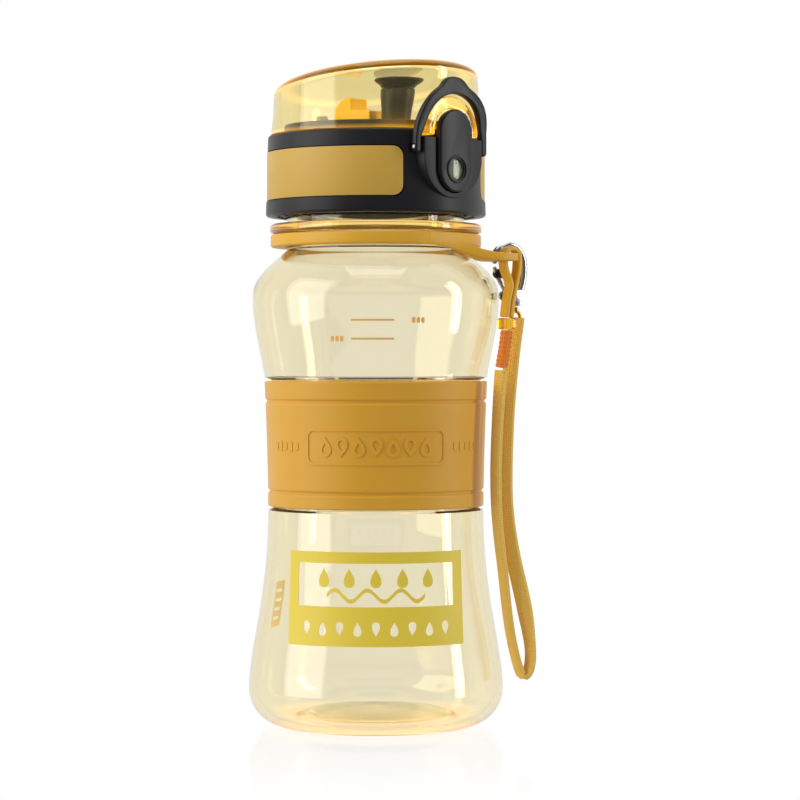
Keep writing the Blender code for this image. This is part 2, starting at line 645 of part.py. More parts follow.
def make_stopper():
    foot = PLATFORM_TOP + SPOUT_HEIGHT + GAP
    base = SPOUT_RADIUS + SPOUT_LIP
    top = foot + STOPPER_HEIGHT
    profile = [(0, top), (STOPPER_RADIUS, top), (STOPPER_RADIUS - 0.25 * MM, top - 0.35 * STOPPER_HEIGHT),
               (base + 0.35 * (STOPPER_RADIUS - base), top - 0.7 * STOPPER_HEIGHT), (base, foot),
               (SPOUT_BORE - 0.6 * MM, foot), (SPOUT_BORE - 0.8 * MM, foot - STOPPER_NOSE),
               (0, foot - STOPPER_NOSE)]
    shift = SPOUT_LEAN * (SPOUT_HEIGHT + GAP)
    stopper = turned("spout_stopper", profile, BLACK, steps=SMALL_STEPS, at=(0, SPOUT_Y - shift, 0))
    return lean(stopper, foot, SPOUT_LEAN * 2, (0, -1, 0))


def make_vent():
    foot = PLATFORM_TOP + GAP
    outline = [(VENT_Y + VENT_LENGTH, foot), (VENT_Y + VENT_LENGTH, foot + 0.58 * VENT_HEIGHT),
               (VENT_Y + 0.75 * VENT_LENGTH, foot + 0.8 * VENT_HEIGHT),
               (VENT_Y + 0.3 * VENT_LENGTH, foot + VENT_HEIGHT), (VENT_Y, foot + 0.93 * VENT_HEIGHT),
               (VENT_Y - 0.1 * MM, foot + 0.58 * VENT_HEIGHT),
               (SPOUT_Y + SPOUT_RADIUS + 3.2 * MM, foot + 0.5 * VENT_HEIGHT),
               (SPOUT_Y + SPOUT_RADIUS + 3.2 * MM, foot)]
    return plate("vent_plug", [outline], VENT_WIDTH, YELLOW_RUBBER, facing="X", rounding=0.5 * MM)


def make_valve():
    foot = PLATFORM_TOP + GAP
    top = foot + VALVE_HEIGHT
    profile = [(0, top), (VALVE_RADIUS, top), (VALVE_RADIUS, top - 1.2 * MM),
               (0.65 * VALVE_RADIUS, top - 1.6 * MM), (0.65 * VALVE_RADIUS, foot + 0.8 * MM),
               (VALVE_RADIUS, foot + 0.8 * MM), (VALVE_RADIUS, foot), (0, foot)]
    behind = VENT_Y + VENT_LENGTH + 6.5 * MM
    return turned("vent_valve", profile, GREY_RUBBER, steps=16, at=(-2 * MM, behind, 0))


# ------------------------------------------------------------------ dome

def dome_profile(inset):
    """Half of the dome's section before its top is slanted, from the middle outwards and down."""
    side = DOME_RADIUS - DOME_DRAFT - inset
    corner = DOME_CORNER - inset
    rise = DOME_SHOULDER
    ceiling = DOME_CROWN - inset
    shoulder = curve((side, rise), (side, rise + 0.62 * corner), (side - 0.45 * corner, ceiling - 1.1 * MM),
                     (side - 1.5 * corner, ceiling - 0.75 * MM), 5)
    crown = [(side * 0.5, ceiling - 0.25 * MM), (0.0, ceiling)]
    wall = [(side + 0.3 * DOME_DRAFT, 3.5 * MM), (DOME_RADIUS - inset, 0.0)]
    return [(r, h + DOME_FOOT) for r, h in crown[::-1] + shoulder[::-1] + wall]


def slant(height, across):
    """How much a point of the dome is raised: nothing at the foot, the full slope at the corner."""
    share = min(max((height - DOME_FOOT - 2 * MM) / (DOME_SHOULDER - 2 * MM), 0.0), 1.0)
    return -across * math.tan(DOME_SLOPE) * share


def make_dome():
    outside = dome_profile(0.0)
    inside = dome_profile(DOME_WALL)
    dome = solid_mesh(turned("flip_lid", outside + inside[::-1], DOME_AMBER))
    work = bmesh.new()
    work.from_mesh(dome.data)
    for vertex in work.verts:
        vertex.co.z += slant(vertex.co.z, vertex.co.y)
    work.to_mesh(dome.data)
    work.free()
    joined(dome, make_lug())
    for side, sign in (("left", -1), ("right", 1)):
        outline = (arc((HINGE_Y, HINGE_Z), HINGE_BARREL, -170, 90, 14)
                   + [(DOME_RADIUS - 1.2 * MM, HINGE_Z + HINGE_BARREL),
                      (DOME_RADIUS - 1.2 * MM, DOME_FOOT + 0.1 * MM)])
        joined(dome, plate(f"knuckle_{side}", [outline], KNUCKLE[1] - KNUCKLE[0], facing="X",
                           at=sign * (KNUCKLE[0] + KNUCKLE[1]) / 2))
    cut(dome, rod("dome_pin_hole", (-KNUCKLE[1] - MM, HINGE_Y, HINGE_Z), (KNUCKLE[1] + MM, HINGE_Y, HINGE_Z),
                  HINGE_PIN_RADIUS + PIN_CLEARANCE, steps=16))
    return dome


def make_lug():
    """The U at the dome's front. Its face is an arc about the hinge, so that it rises inside the lock ring."""
    foot = LUG_CENTRE - LUG_DROP
    outline = (arc((0, LUG_CENTRE), LUG_OUTER, 0, 180, 20) + [(-LUG_OUTER, foot), (-LUG_INNER, foot)]
               + arc((0, LUG_CENTRE), LUG_INNER, 180, 0, 16) + [(LUG_INNER, foot), (LUG_OUTER, foot)])
    back = 25.6 * MM
    depth = LUG_REACH - back
    lug = plate("front_lug", [outline], depth, at=-back - depth / 2)
    work = bmesh.new()
    work.from_mesh(lug.data)
    sweep = HINGE_Y + LUG_REACH
    for vertex in work.verts:
        place_now = lug.matrix_world @ vertex.co
        if place_now.y < -back - depth / 2:
            place_now.y = HINGE_Y - math.sqrt(sweep ** 2 - (place_now.z - HINGE_Z) ** 2)
        else:
            place_now.y = -math.sqrt(LUG_BACK ** 2 - place_now.x ** 2)
        vertex.co = lug.matrix_world.inverted() @ place_now
    work.to_mesh(lug.data)
    work.free()
    return lug


def make_hinge_spring():
    points = [(-0.75 * KNUCKLE[0], HINGE_Y - 1.5 * MM, HINGE_Z + 4.2 * MM)]
    for i in range(SPRING_TURNS * 12 + 1):
        turn = math.radians(180 - 30 * i)
        across = 0.75 * KNUCKLE[0] * (-1 + 2 * i / (SPRING_TURNS * 12))
        points.append((across, HINGE_Y + 1.5 * MM * math.cos(turn), HINGE_Z + 1.5 * MM * math.sin(turn)))
    return wire("hinge_spring", points, SPRING_WIRE, STEEL, sides=1)


# ------------------------------------------------------------------ latch

def make_button():
    centre = (0, BUTTON_BOTTOM + BUTTON_HALF_WIDTH)
    upper = (0, LUG_CENTRE)
    outline = (arc(centre, BUTTON_HALF_WIDTH, 180, 360, 14) + arc(upper, BUTTON_HALF_WIDTH, 0, 180, 14))
    button = plate("latch_button", [outline], BUTTON_THICKNESS, BLACK,
                   at=-BUTTON_FACE + BUTTON_THICKNESS / 2, rounding=0.45 * MM)
    hub = plate("button_hub", [arc((-BUTTON_PIVOT[0], BUTTON_PIVOT[1]), BUTTON_HUB, 0, 337.5, 15)],
                2 * BUTTON_HALF_WIDTH - 2 * MM, facing="X")
    joined(button, hub)
    cut(button, rod("hub_hole", (-9 * MM, -BUTTON_PIVOT[0], BUTTON_PIVOT[1]),
                    (9 * MM, -BUTTON_PIVOT[0], BUTTON_PIVOT[1]),
                    BUTTON_PIN_RADIUS + PIN_CLEARANCE, steps=12),
        rod("lens_seat", (0, -BUTTON_FACE + LENS_DEPTH + GAP, LENS_HEIGHT),
            (0, -BUTTON_FACE - MM, LENS_HEIGHT), LENS_RADIUS + GAP))
    return button


def make_bail():
    """The lock ring: two eyes, an arch over the lug and a thumb tab, leaning out over the lug."""
    pivot = BAIL_PIVOT[1]
    spring_line = LUG_CENTRE + 0.1 * MM
    tab_foot = spring_line + BAIL_OUTER - 0.9 * MM
    right_outer = ([(BAIL_EYE[1], pivot), (BAIL_EYE[1], pivot + 2.5 * MM)]
                   + arc((0, spring_line), BAIL_OUTER, 0, 62, 8))
    tab = curve((BAIL_OUTER * math.cos(math.radians(66)), tab_foot - 0.15 * MM),
                (3.9 * MM, tab_foot + 0.9 * MM), (3.6 * MM, BAIL_TAB), (0.0, BAIL_TAB), 5)
    inner = ([(BAIL_EYE[0], pivot + 2.6 * MM)] + [(x, z) for x, z in
             arc((0, spring_line), BAIL_INNER, 8, 90, 9)])
    sole = pivot - BAIL_EYE_RADIUS + 0.5 * MM
    foot = [(BAIL_EYE[0], sole), (BAIL_EYE[1], sole)]
    right = inner[::-1] + [(BAIL_EYE[0], pivot)] + foot + right_outer + tab
    left = [(-x, z) for x, z in right[::-1]]
    outline = right[:-1] + left[:-1]
    bail = plate("lock_bail", [outline], BAIL_THICKNESS, BLACK, at=-BAIL_PIVOT[0])
    work = bmesh.new()
    work.from_mesh(bail.data)
    for vertex in work.verts:
        now = bail.matrix_world @ vertex.co
        rise = min(max((now.z - pivot - 2 * MM) / (LUG_CENTRE + LUG_OUTER - pivot - 2 * MM), 0.0), 1.0)
        above = max(now.z - LUG_CENTRE - LUG_OUTER - MM, 0.0)
        now.y -= BAIL_LEAN * rise * rise * (3 - 2 * rise) - 0.12 * above
        vertex.co = bail.matrix_world.inverted() @ now
    work.to_mesh(bail.data)
    work.free()
    for side, sign in (("left", -1), ("right", 1)):
        cut(bail, rod(f"bail_eye_{side}", (sign * 9 * MM, -BAIL_PIVOT[0], pivot),
                      (sign * 16 * MM, -BAIL_PIVOT[0], pivot), BAIL_PIN_RADIUS + GAP, steps=12))
    return bail


def make_leaf_spring():
    """A thin arched strip between the pocket's floor and the button's lower back."""
    inner, outer = POCKET_FLOOR + GAP, BUTTON_FACE - BUTTON_THICKNESS - GAP
    line = [(-inner - 0.1 * MM, BUTTON_BOTTOM + 3.2 * MM), (-outer + 0.2 * MM, LENS_HEIGHT - 1.6 * MM),
            (-outer + 0.2 * MM, LENS_HEIGHT - 0.6 * MM), (-inner - 0.1 * MM, LENS_HEIGHT + 1.4 * MM)]
    thickness = 0.2 * MM
    outline = [(y - thickness / 2, z) for y, z in line] + [(y + thickness / 2, z) for y, z in line[::-1]]
    return plate("button_spring", [outline], 3 * MM, STEEL, facing="X")


# ------------------------------------------------------------------ strap

def hang_frame():
    """Where the bar is, and which way the tail leaves the ring to reach it."""
    middle = (RING_OUTER - TAIL_THICKNESS / 2)
    bar = Vector((HANG_REACH * math.cos(HANG_ANGLE), HANG_REACH * math.sin(HANG_ANGLE), HANG_HEIGHT))
    touch = HANG_ANGLE - math.acos(middle / HANG_REACH)
    return bar, touch + math.pi / 2, Vector((middle * math.cos(touch), middle * math.sin(touch), 0))


def make_neck_band():
    bottom = FLANGE_BOTTOM - GAP - RING_HEIGHT
    bar, heading, touch = hang_frame()
    band = ring("neck_band", RING_INNER, RING_OUTER, bottom, bottom + RING_HEIGHT, STRAP_YELLOW)
    reach = (Vector((bar.x, bar.y, 0)) - touch).length
    ahead = Vector((math.cos(heading), math.sin(heading), 0))
    turn = Matrix.Translation(Vector((bar.x, bar.y, 0))) @ Matrix.Rotation(heading, 4, "Z")
    tail_mesh = bpy.data.meshes.new("band_tail")
    work = bmesh.new()
    count = 8
    previous = None
    tab_start = SLOT_LENGTH + BAR / 2 + 1.6 * MM
    for i in range(count + 1):
        share = i / count
        back = -(reach + 2 * MM) + share * (reach + 2 * MM - tab_start + MM)
        ease = share * share * (3 - 2 * share)
        middle_height = (bottom + RING_HEIGHT / 2) * (1 - ease) + HANG_HEIGHT * ease
        half_height = RING_HEIGHT / 2 * (1 - ease) + TAB_HEIGHT / 2 * ease - TAIL_INSET
        half_width = TAIL_THICKNESS / 2 * (1 - ease) + TAIL_WIDTH / 2 * ease ** 3 - TAIL_INSET
        corners = [work.verts.new((back, side * half_width, middle_height + up * half_height))
                   for side, up in ((-1, -1), (1, -1), (1, 1), (-1, 1))]
        if previous:
            for k in range(4):
                work.faces.new((previous[k], previous[(k + 1) % 4], corners[(k + 1) % 4], corners[k]))
        else:
            work.faces.new(corners)
        previous = corners
    work.faces.new(previous)
    bmesh.ops.recalc_face_normals(work, faces=work.faces)
    work.to_mesh(tail_mesh)
    work.free()
    tail = place("band_tail", tail_mesh)
    tail.matrix_world = turn
    tab = box("band_tab", (-tab_start, -TAIL_WIDTH / 2, HANG_HEIGHT - TAB_HEIGHT / 2),
              (BAR / 2, TAIL_WIDTH / 2, HANG_HEIGHT + TAB_HEIGHT / 2), rounding=0.45 * MM)
    tab = solid_mesh(tab)
    tab.matrix_world = turn @ Matrix.Translation(((BAR / 2 - tab_start) / 2, 0, HANG_HEIGHT))
    slot = box("band_slot", (-SLOT_LENGTH, -SLOT_WIDTH / 2, -5 * MM), (0, SLOT_WIDTH / 2, 5 * MM))
    slot.matrix_world = turn @ Matrix.Translation((-SLOT_LENGTH / 2 - BAR / 2, 0, HANG_HEIGHT))
    joined(joined(band, tail), tab)
    cut(band, slot)
    return band


def on_bar(points, side):
    """Points given from the bar, (along the tail, up), at a place along the bar, as world points."""
    bar, heading, _ = hang_frame()
    along = Vector((math.cos(heading), math.sin(heading), 0))
    across = Vector((-math.sin(heading), math.cos(heading), 0))
    return [bar + along * x + across * side + Vector((0, 0, z)) for x, z in points]


def bar_plate(name, outline, side, width, finish=None, rounding=0.0):
    """A flat outline in the plane across the bar, thickened along the bar."""
    bar, heading, _ = hang_frame()
    made = plate(name, [outline], width, finish)
    made.matrix_world = (Matrix.Translation(bar) @ Matrix.Rotation(heading, 4, "Z")
                         @ Matrix.Translation((0, side, 0)) @ Matrix.Rotation(math.pi / 2, 4, "X"))
    if rounding:
        soften(made, rounding)
    return made


def ribbon(name, points, side, width, thickness, finish):
    """A flat tape along points in the plane across the bar, its width along the bar."""
    left, right = [], []
    for i, here in enumerate(points):
        before, after = Vector(points[max(i - 1, 0)]), Vector(points[min(i + 1, len(points) - 1)])
        ahead = (after - before).normalized()
        offset = Vector((-ahead.y, ahead.x)) * thickness / 2
        left.append(tuple(Vector(here) + offset))
        right.append(tuple(Vector(here) - offset))
    return bar_plate(name, left + right[::-1], side, width, finish)


def make_tape():
    bend = BAR / 2 + TAPE_SLACK + TAPE_THICKNESS / 2
    apart = (TAPE_THICKNESS + GAP) / 2
    foot = FERRULE_TOP + GAP
    left = [(FERRULE_ALONG - apart, foot), (FERRULE_ALONG - apart - 0.2 * MM, -12 * MM), (-bend, -5 * MM),
            (-bend, -1.5 * MM)]
    right = [(bend, -1.5 * MM), (1.9 * MM, -5 * MM), (0.2 * MM, -12 * MM), (FERRULE_ALONG + apart, foot)]
    return ribbon("tape_loop", left + arc((0, 0), bend, 180, 0, 14) + right, TAPE_SIDE, TAPE_WIDTH,
                  TAPE_THICKNESS, STRAP_YELLOW)


def make_ferrule():
    ferrule = box("ferrule", [-size / 2 for size in FERRULE], [size / 2 for size in FERRULE], CLEAR,
                  rounding=0.5 * MM)
    _, heading, _ = hang_frame()
    middle = on_bar([(FERRULE_ALONG, FERRULE_TOP - FERRULE[2] / 2)], TAPE_SIDE)[0]
    ferrule.matrix_world = Matrix.Translation(middle) @ Matrix.Rotation(heading, 4, "Z")
    return ferrule


def make_fold():
    """The folded end of the webbing, sewn through, hanging under the ferrule."""
    top = FERRULE_TOP - FERRULE[2] - GAP
    line = [(FERRULE_ALONG, top), (FERRULE_ALONG - 0.5 * MM, top - 3.5 * MM),
            (FERRULE_ALONG - 1.2 * MM, top - 7 * MM), (FERRULE_ALONG - 1.8 * MM, top - 10 * MM)]
    return ribbon("strap_fold", line, TAPE_SIDE, *FOLD, ORANGE)


def route(points):
    """Points of the long loop: spread from the bottle's axis, depth towards the front, height."""
    spread = Vector((math.cos(LOOP_PLANE), math.sin(LOOP_PLANE), 0))
    depth = Vector((math.sin(LOOP_PLANE), -math.cos(LOOP_PLANE), 0))
    room = FOOT_RADIUS - LOOP_FOOT
    made = []
    for x, y, z in points:
        share = min(max((97 - z) / 52, 0.0), 1.0)
        made.append(spread * (x * MM + room * share) + depth * y * MM + Vector((0, 0, z * MM)))
    return made


STRAP_ROUTE = [
    (38.6, 5.9, 111.2), (38.0, 6.6, 106.5), (37.3, 7.6, 101.0), (36.6, 8.6, 94.5), (36.0, 9.4, 87.0),
    (35.6, 9.9, 79.0), (35.4, 10.2, 71.0), (35.5, 10.4, 63.0), (36.3, 10.6, 55.0), (37.7, 10.8, 47.0),
    (39.3, 11.0, 40.0), (40.7, 11.2, 33.5), (41.8, 11.3, 27.0), (42.4, 11.4, 21.0), (41.9, 11.5, 16.6),
    (40.3, 11.6, 14.6), (38.9, 11.8, 17.6), (37.6, 12.0, 22.6), (36.5, 12.2, 28.5), (35.6, 12.4, 35.5),
    (34.7, 12.7, 44.0), (33.7, 12.9, 52.5), (33.0, 13.1, 61.0), (32.8, 13.2, 70.0), (33.0, 13.2, 79.0),
    (33.4, 13.2, 87.0), (33.9, 13.3, 94.5), (34.2, 13.3, 97.6),
]


def make_strap():
    return wire("wrist_strap", through(route(STRAP_ROUTE), 56), WEBBING_RADIUS, WEBBING)


def make_hook():
    line = (arc((0, 0), HOOK_BEND, 200, 88, 8)
            + [(2.8 * MM, 3.4 * MM), (5.2 * MM, 2.7 * MM), (6.9 * MM, 0.4 * MM), (7.4 * MM, -2.6 * MM),
               (7.1 * MM, -6.2 * MM), (6.0 * MM, -9.8 * MM), (5.0 * MM, -12.4 * MM)])
    hook = solid_mesh(wire("snap_hook", on_bar(line, HOOK_SIDE), HOOK_WIRE, CHROME))
    cheeks = GATE_HUB[1] + 2 * GAP
    base_outline = (arc(GATE_PIVOT, 1.3 * MM, 80, 250, 8)
                    + [(HOOK_FOOT[0] - 0.8 * MM, HOOK_FOOT[1]), (HOOK_FOOT[0] + 0.7 * MM, HOOK_FOOT[1]),
                       (7.0 * MM, -9.2 * MM)])
    base = bar_plate("hook_base", base_outline, HOOK_SIDE, cheeks + 2 * CHEEK)
    left, right = GATE_PIVOT[0] - 3 * MM, GATE_PIVOT[0] + 1.7 * MM
    low, high = GATE_PIVOT[1] - 4 * MM, GATE_PIVOT[1] + 3 * MM
    gap_outline = [(left, low), (right, low), (right, high), (left, high)]
    cut(base, bar_plate("hook_slot", gap_outline, HOOK_SIDE, cheeks))
    cut(base, rod("hook_pin_hole", on_bar([GATE_PIVOT], HOOK_SIDE - 4 * MM)[0],
                  on_bar([GATE_PIVOT], HOOK_SIDE + 4 * MM)[0], GATE_PIN_RADIUS + GATE_CLEARANCE, steps=12))
    return joined(hook, base)


def make_gate():
    line = [(-HOOK_BEND + 0.2 * MM, -3.1 * MM), (-1.4 * MM, -5.2 * MM), (0.4 * MM, -7.9 * MM), GATE_PIVOT]
    gate = solid_mesh(wire("hook_gate", on_bar(line, HOOK_SIDE), GATE_WIRE, CHROME))
    half = GATE_HUB[1] / 2
    hub = rod("gate_hub", on_bar([GATE_PIVOT], HOOK_SIDE - half)[0], on_bar([GATE_PIVOT], HOOK_SIDE + half)[0],
              GATE_HUB[0], steps=12)
    hole = rod("gate_hole", on_bar([GATE_PIVOT], HOOK_SIDE - 3 * MM)[0],
               on_bar([GATE_PIVOT], HOOK_SIDE + 3 * MM)[0], GATE_PIN_RADIUS + GATE_CLEARANCE, steps=12)
    joined(gate, hub)
    cut(gate, hole)
    reach = half + GAP + CHEEK
    pin = rod("gate_pin", on_bar([GATE_PIVOT], HOOK_SIDE - reach)[0],
              on_bar([GATE_PIVOT], HOOK_SIDE + reach)[0], GATE_PIN_RADIUS, CHROME, steps=12)
    knob = rod("gate_knob", on_bar([(KNOB_REACH[0], KNOB_HEIGHT)], HOOK_SIDE)[0],
               on_bar([(KNOB_REACH[1], KNOB_HEIGHT)], HOOK_SIDE)[0], KNOB_RADIUS, BLACK, steps=16)
    soften(knob, 0.5 * MM)
    bore = wire("knob_bore", on_bar(line, HOOK_SIDE), GATE_WIRE + GATE_CLEARANCE)
    cut(knob, solid_mesh(bore))
    return gate, pin, knob


def make_eye():
    """The small eye that turns in the hook's foot, a stem with a ring under it."""
    top = (HOOK_FOOT[0], HOOK_FOOT[1] - GAP)
    stem = rod("swivel_eye", on_bar([(top[0], top[1] - EYE_STEM)], HOOK_SIDE)[0], on_bar([top], HOOK_SIDE)[0],
               EYE_STEM_RADIUS, CHROME, steps=12)
    section = arc((EYE_RING, 0), EYE_WIRE, 0, 315, 7)
    loop = turned("eye_loop", section[::-1], steps=16, closed=True)
    _, heading, _ = hang_frame()
    middle = on_bar([(top[0], top[1] - EYE_STEM - EYE_RING + 0.3 * EYE_WIRE)], HOOK_SIDE)[0]
    loop.matrix_world = (Matrix.Translation(middle) @ Matrix.Rotation(heading, 4, "Z")
                         @ Matrix.Rotation(math.pi / 2, 4, "X"))
    return joined(stem, loop)


clear_scene()
PARTS = collection("kids_water_bottle")
CUTTERS = collection("cutters")
AMBER = material("amber_clear", (0.93, 0.78, 0.36), 0.08)
DOME_AMBER = material("dome_amber", (0.93, 0.72, 0.22), 0.06)
BLACK = material("black_plastic", (0.03, 0.03, 0.035), 0.35)
SILICONE = material("sleeve_silicone", (0.78, 0.52, 0.1), 0.55)
BAND_SILICONE = material("band_silicone", (0.72, 0.5, 0.14), 0.6)
YELLOW_RUBBER = material("yellow_rubber", (0.95, 0.68, 0.05), 0.4)
GREY_RUBBER = material("grey_rubber", (0.5, 0.5, 0.48), 0.5)
CLEAR = material("clear_lens", (0.6, 0.62, 0.4), 0.05)
WHITE_RUBBER = material("seal_silicone", (0.85, 0.84, 0.8), 0.5)
STEEL = material("steel", (0.6, 0.6, 0.62), 0.3, 1.0)
CHROME = material("chrome", (0.75, 0.75, 0.77), 0.12, 1.0)
STRAP_YELLOW = material("strap_yellow", (0.82, 0.5, 0.08), 0.6)
WEBBING = material("webbing", (0.85, 0.5, 0.12), 0.8)
ORANGE = material("orange_stitching", (0.85, 0.3, 0.03), 0.85)

bottle = make_bottle()
make_sleeve()
band, band_recess = make_band()
cap = make_cap(band_recess)
liner = make_liner()
gasket = ring("lid_gasket", THREAD_ROOT - 0.2 * MM - GASKET_WIDTH, THREAD_ROOT - 0.2 * MM, GASKET_BOTTOM,
              GASKET_BOTTOM + GASKET_THICKNESS, WHITE_RUBBER)
spout = make_spout()
stopper = make_stopper()
grommet = ring("spout_grommet", SPOUT_RADIUS + GAP, SPOUT_RADIUS + 2.2 * MM, PLATE_BOTTOM - GAP - MM,
               PLATE_BOTTOM - GAP, WHITE_RUBBER, steps=SMALL_STEPS, at=(0, SPOUT_Y, 0))
vent = make_vent()
valve = make_valve()
dome = make_dome()
hinge_pin = rod("hinge_pin", (-EAR[1] + 0.2 * MM, HINGE_Y, HINGE_Z),
                (EAR[1] - 0.2 * MM, HINGE_Y, HINGE_Z), HINGE_PIN_RADIUS, STEEL, steps=16)
hinge_spring = make_hinge_spring()
button = make_button()
button_pin = rod("button_pin", (-BOSS_HALF_WIDTH + 1.5 * MM, -BUTTON_PIVOT[0], BUTTON_PIVOT[1]),
                 (BOSS_HALF_WIDTH - 1.5 * MM, -BUTTON_PIVOT[0], BUTTON_PIVOT[1]),
                 BUTTON_PIN_RADIUS, STEEL, steps=12)
button_spring = make_leaf_spring()
lens = rod("button_lens", (0, -BUTTON_FACE + LENS_DEPTH, LENS_HEIGHT),
           (0, -BUTTON_FACE + 0.1 * MM, LENS_HEIGHT), LENS_RADIUS, CLEAR)
bail = make_bail()
bail_pins = [rod(f"bail_pin_{side}", (sign * (BAIL_EYE[0] - 1.8 * MM), -BAIL_PIVOT[0], BAIL_PIVOT[1]),
                 (sign * (BAIL_EYE[1] + 0.2 * MM), -BAIL_PIVOT[0], BAIL_PIVOT[1]), BAIL_PIN_RADIUS, STEEL,
                 steps=12) for side, sign in (("left", -1), ("right", 1))]
neck_band = make_neck_band()
tape = make_tape()
ferrule = make_ferrule()
fold = make_fold()
hook = make_hook()
gate, gate_pin, knob = make_gate()
eye = make_eye()
strap = make_strap()

lid_axis = empty("lid_axis", (0, 0, CAP_BOTTOM))
lid_pieces = (band, cap, liner, gasket, spout, grommet, vent, valve, hinge_pin, hinge_spring, button_pin,
              button_spring, *bail_pins)
hang(lid_axis, *lid_pieces)
flip_axis = empty("flip_axis", (0, HINGE_Y, HINGE_Z))
hang(flip_axis, dome, stopper)
button_axis = empty("button_axis", (0, -BUTTON_PIVOT[0], BUTTON_PIVOT[1]))
hang(button_axis, button, lens)
bail_axis = empty("bail_axis", (0, -BAIL_PIVOT[0], BAIL_PIVOT[1]))
hang(bail_axis, bail)
bar_place, bar_heading, _ = hang_frame()
band_axis = empty("band_axis", (0, 0, FLANGE_BOTTOM))
hang(band_axis, neck_band)
strap_axis = empty("strap_axis", bar_place, bar_heading)
hang(strap_axis, tape, ferrule, fold, hook, gate_pin, eye, strap)
gate_axis = empty("gate_axis", on_bar([GATE_PIVOT], HOOK_SIDE)[0], bar_heading)
hang(gate_axis, gate, knob)
for turned_piece in PARTS.objects:
    if turned_piece.type == "MESH":
        smooth(turned_piece)
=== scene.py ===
# %% [markdown]
# # A kids water bottle, finished piece by piece
#
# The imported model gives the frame: which pieces there are, where they sit and what they move with.
# This lesson makes the fine surface over it. Hard shells are turned or cut again with smooth
# curves, soft pieces are swept along their own lines, and every finish is built from nodes.

# %% Load the frame
import json
import math
from contextlib import contextmanager

import bmesh
import bpy
from mathutils import Matrix, Vector, geometry

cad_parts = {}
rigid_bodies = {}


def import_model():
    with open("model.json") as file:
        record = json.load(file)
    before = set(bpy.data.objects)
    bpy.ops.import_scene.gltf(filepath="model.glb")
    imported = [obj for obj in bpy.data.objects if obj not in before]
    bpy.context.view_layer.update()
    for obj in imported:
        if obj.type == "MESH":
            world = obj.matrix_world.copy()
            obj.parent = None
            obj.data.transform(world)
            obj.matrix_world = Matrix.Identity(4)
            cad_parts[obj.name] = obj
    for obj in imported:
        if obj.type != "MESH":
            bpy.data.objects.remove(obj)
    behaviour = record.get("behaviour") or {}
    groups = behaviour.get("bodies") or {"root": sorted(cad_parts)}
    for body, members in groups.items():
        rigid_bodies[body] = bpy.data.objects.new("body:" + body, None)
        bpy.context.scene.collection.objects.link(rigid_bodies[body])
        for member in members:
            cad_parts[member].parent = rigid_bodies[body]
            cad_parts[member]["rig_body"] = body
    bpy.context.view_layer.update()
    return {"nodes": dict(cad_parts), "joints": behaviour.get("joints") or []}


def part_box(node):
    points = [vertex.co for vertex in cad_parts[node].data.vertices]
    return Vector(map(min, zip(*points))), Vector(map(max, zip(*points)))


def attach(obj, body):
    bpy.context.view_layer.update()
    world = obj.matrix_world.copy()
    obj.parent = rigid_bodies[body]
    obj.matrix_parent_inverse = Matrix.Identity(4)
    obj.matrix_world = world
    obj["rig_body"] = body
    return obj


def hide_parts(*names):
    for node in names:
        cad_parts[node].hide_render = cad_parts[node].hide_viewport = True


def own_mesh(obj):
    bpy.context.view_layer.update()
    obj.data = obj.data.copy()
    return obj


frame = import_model()
MM = 0.001
GAP = 0.3 * MM
FINE = 160
SMALL = 48
print("nodes in the frame:", len(frame["nodes"]))

# %% [markdown]
# ## Sizes
#
# Outer sizes are read off the frame, so the fine shells cannot drift from the working model.
# Wall and detail sizes that a box cannot tell are named here, in millimetres.

# %% Sizes of the bottle, the sleeve and the cap
bottle_box, sleeve_box, cap_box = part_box("bottle_body"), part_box("grip_sleeve"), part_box("lid_shell")
FOOT_RADIUS, RIM = bottle_box[1].x, bottle_box[1].z
SLEEVE_BOTTOM, SLEEVE_TOP = sleeve_box[0].z, sleeve_box[1].z
CAP_BOTTOM, PLATFORM_TOP = cap_box[0].z, cap_box[1].z
CAP_RADIUS = cap_box[1].x
FOOT_HEIGHT, FOOT_CORNER = 10.6 * MM, 11.0 * MM
WAIST_RADIUS, CHEST_RADIUS = 29.9 * MM, 30.9 * MM
SHOULDER_RADIUS, SHOULDER_HEIGHT = 34.2 * MM, 118.5 * MM
BOTTLE_WALL, PUNT_HEIGHT = 2.0 * MM, 3.8 * MM
NECK_RADIUS, NECK_BASE, NECK_BORE = 24.65 * MM, 131.8 * MM, 21.9 * MM
FLANGE_BOTTOM = NECK_BASE + 4.5 * MM
FLANGE_TOP = FLANGE_BOTTOM + 2.6 * MM
FLANGE_RADIUS = NECK_RADIUS + 4.75 * MM
SLEEVE_WALL, SLEEVE_GROOVE, SLEEVE_EDGE_BAND = 1.6 * MM, 0.5 * MM, 4.3 * MM
THREAD_LEAD, THREAD_TURNS = 4.0 * MM, 1.75
THREAD_ROOT = NECK_RADIUS - 0.75 * MM
THREAD_CREST = THREAD_ROOT + 1.2 * MM
LINER_RADIUS = THREAD_CREST + 2.0 * MM
CAP_TAPER, CAP_DECK = 0.6 * MM, 2.6 * MM
DECK_TOP = CAP_BOTTOM + 22.3 * MM
PLATFORM_RADIUS = 25.4 * MM
BAND_LOW, BAND_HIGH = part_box("lid_band")[0].z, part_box("lid_band")[1].z
BAND_THICKNESS, BAND_CORNER, BAND_OPENING = 1.0 * MM, 2.8 * MM, math.radians(29.0)

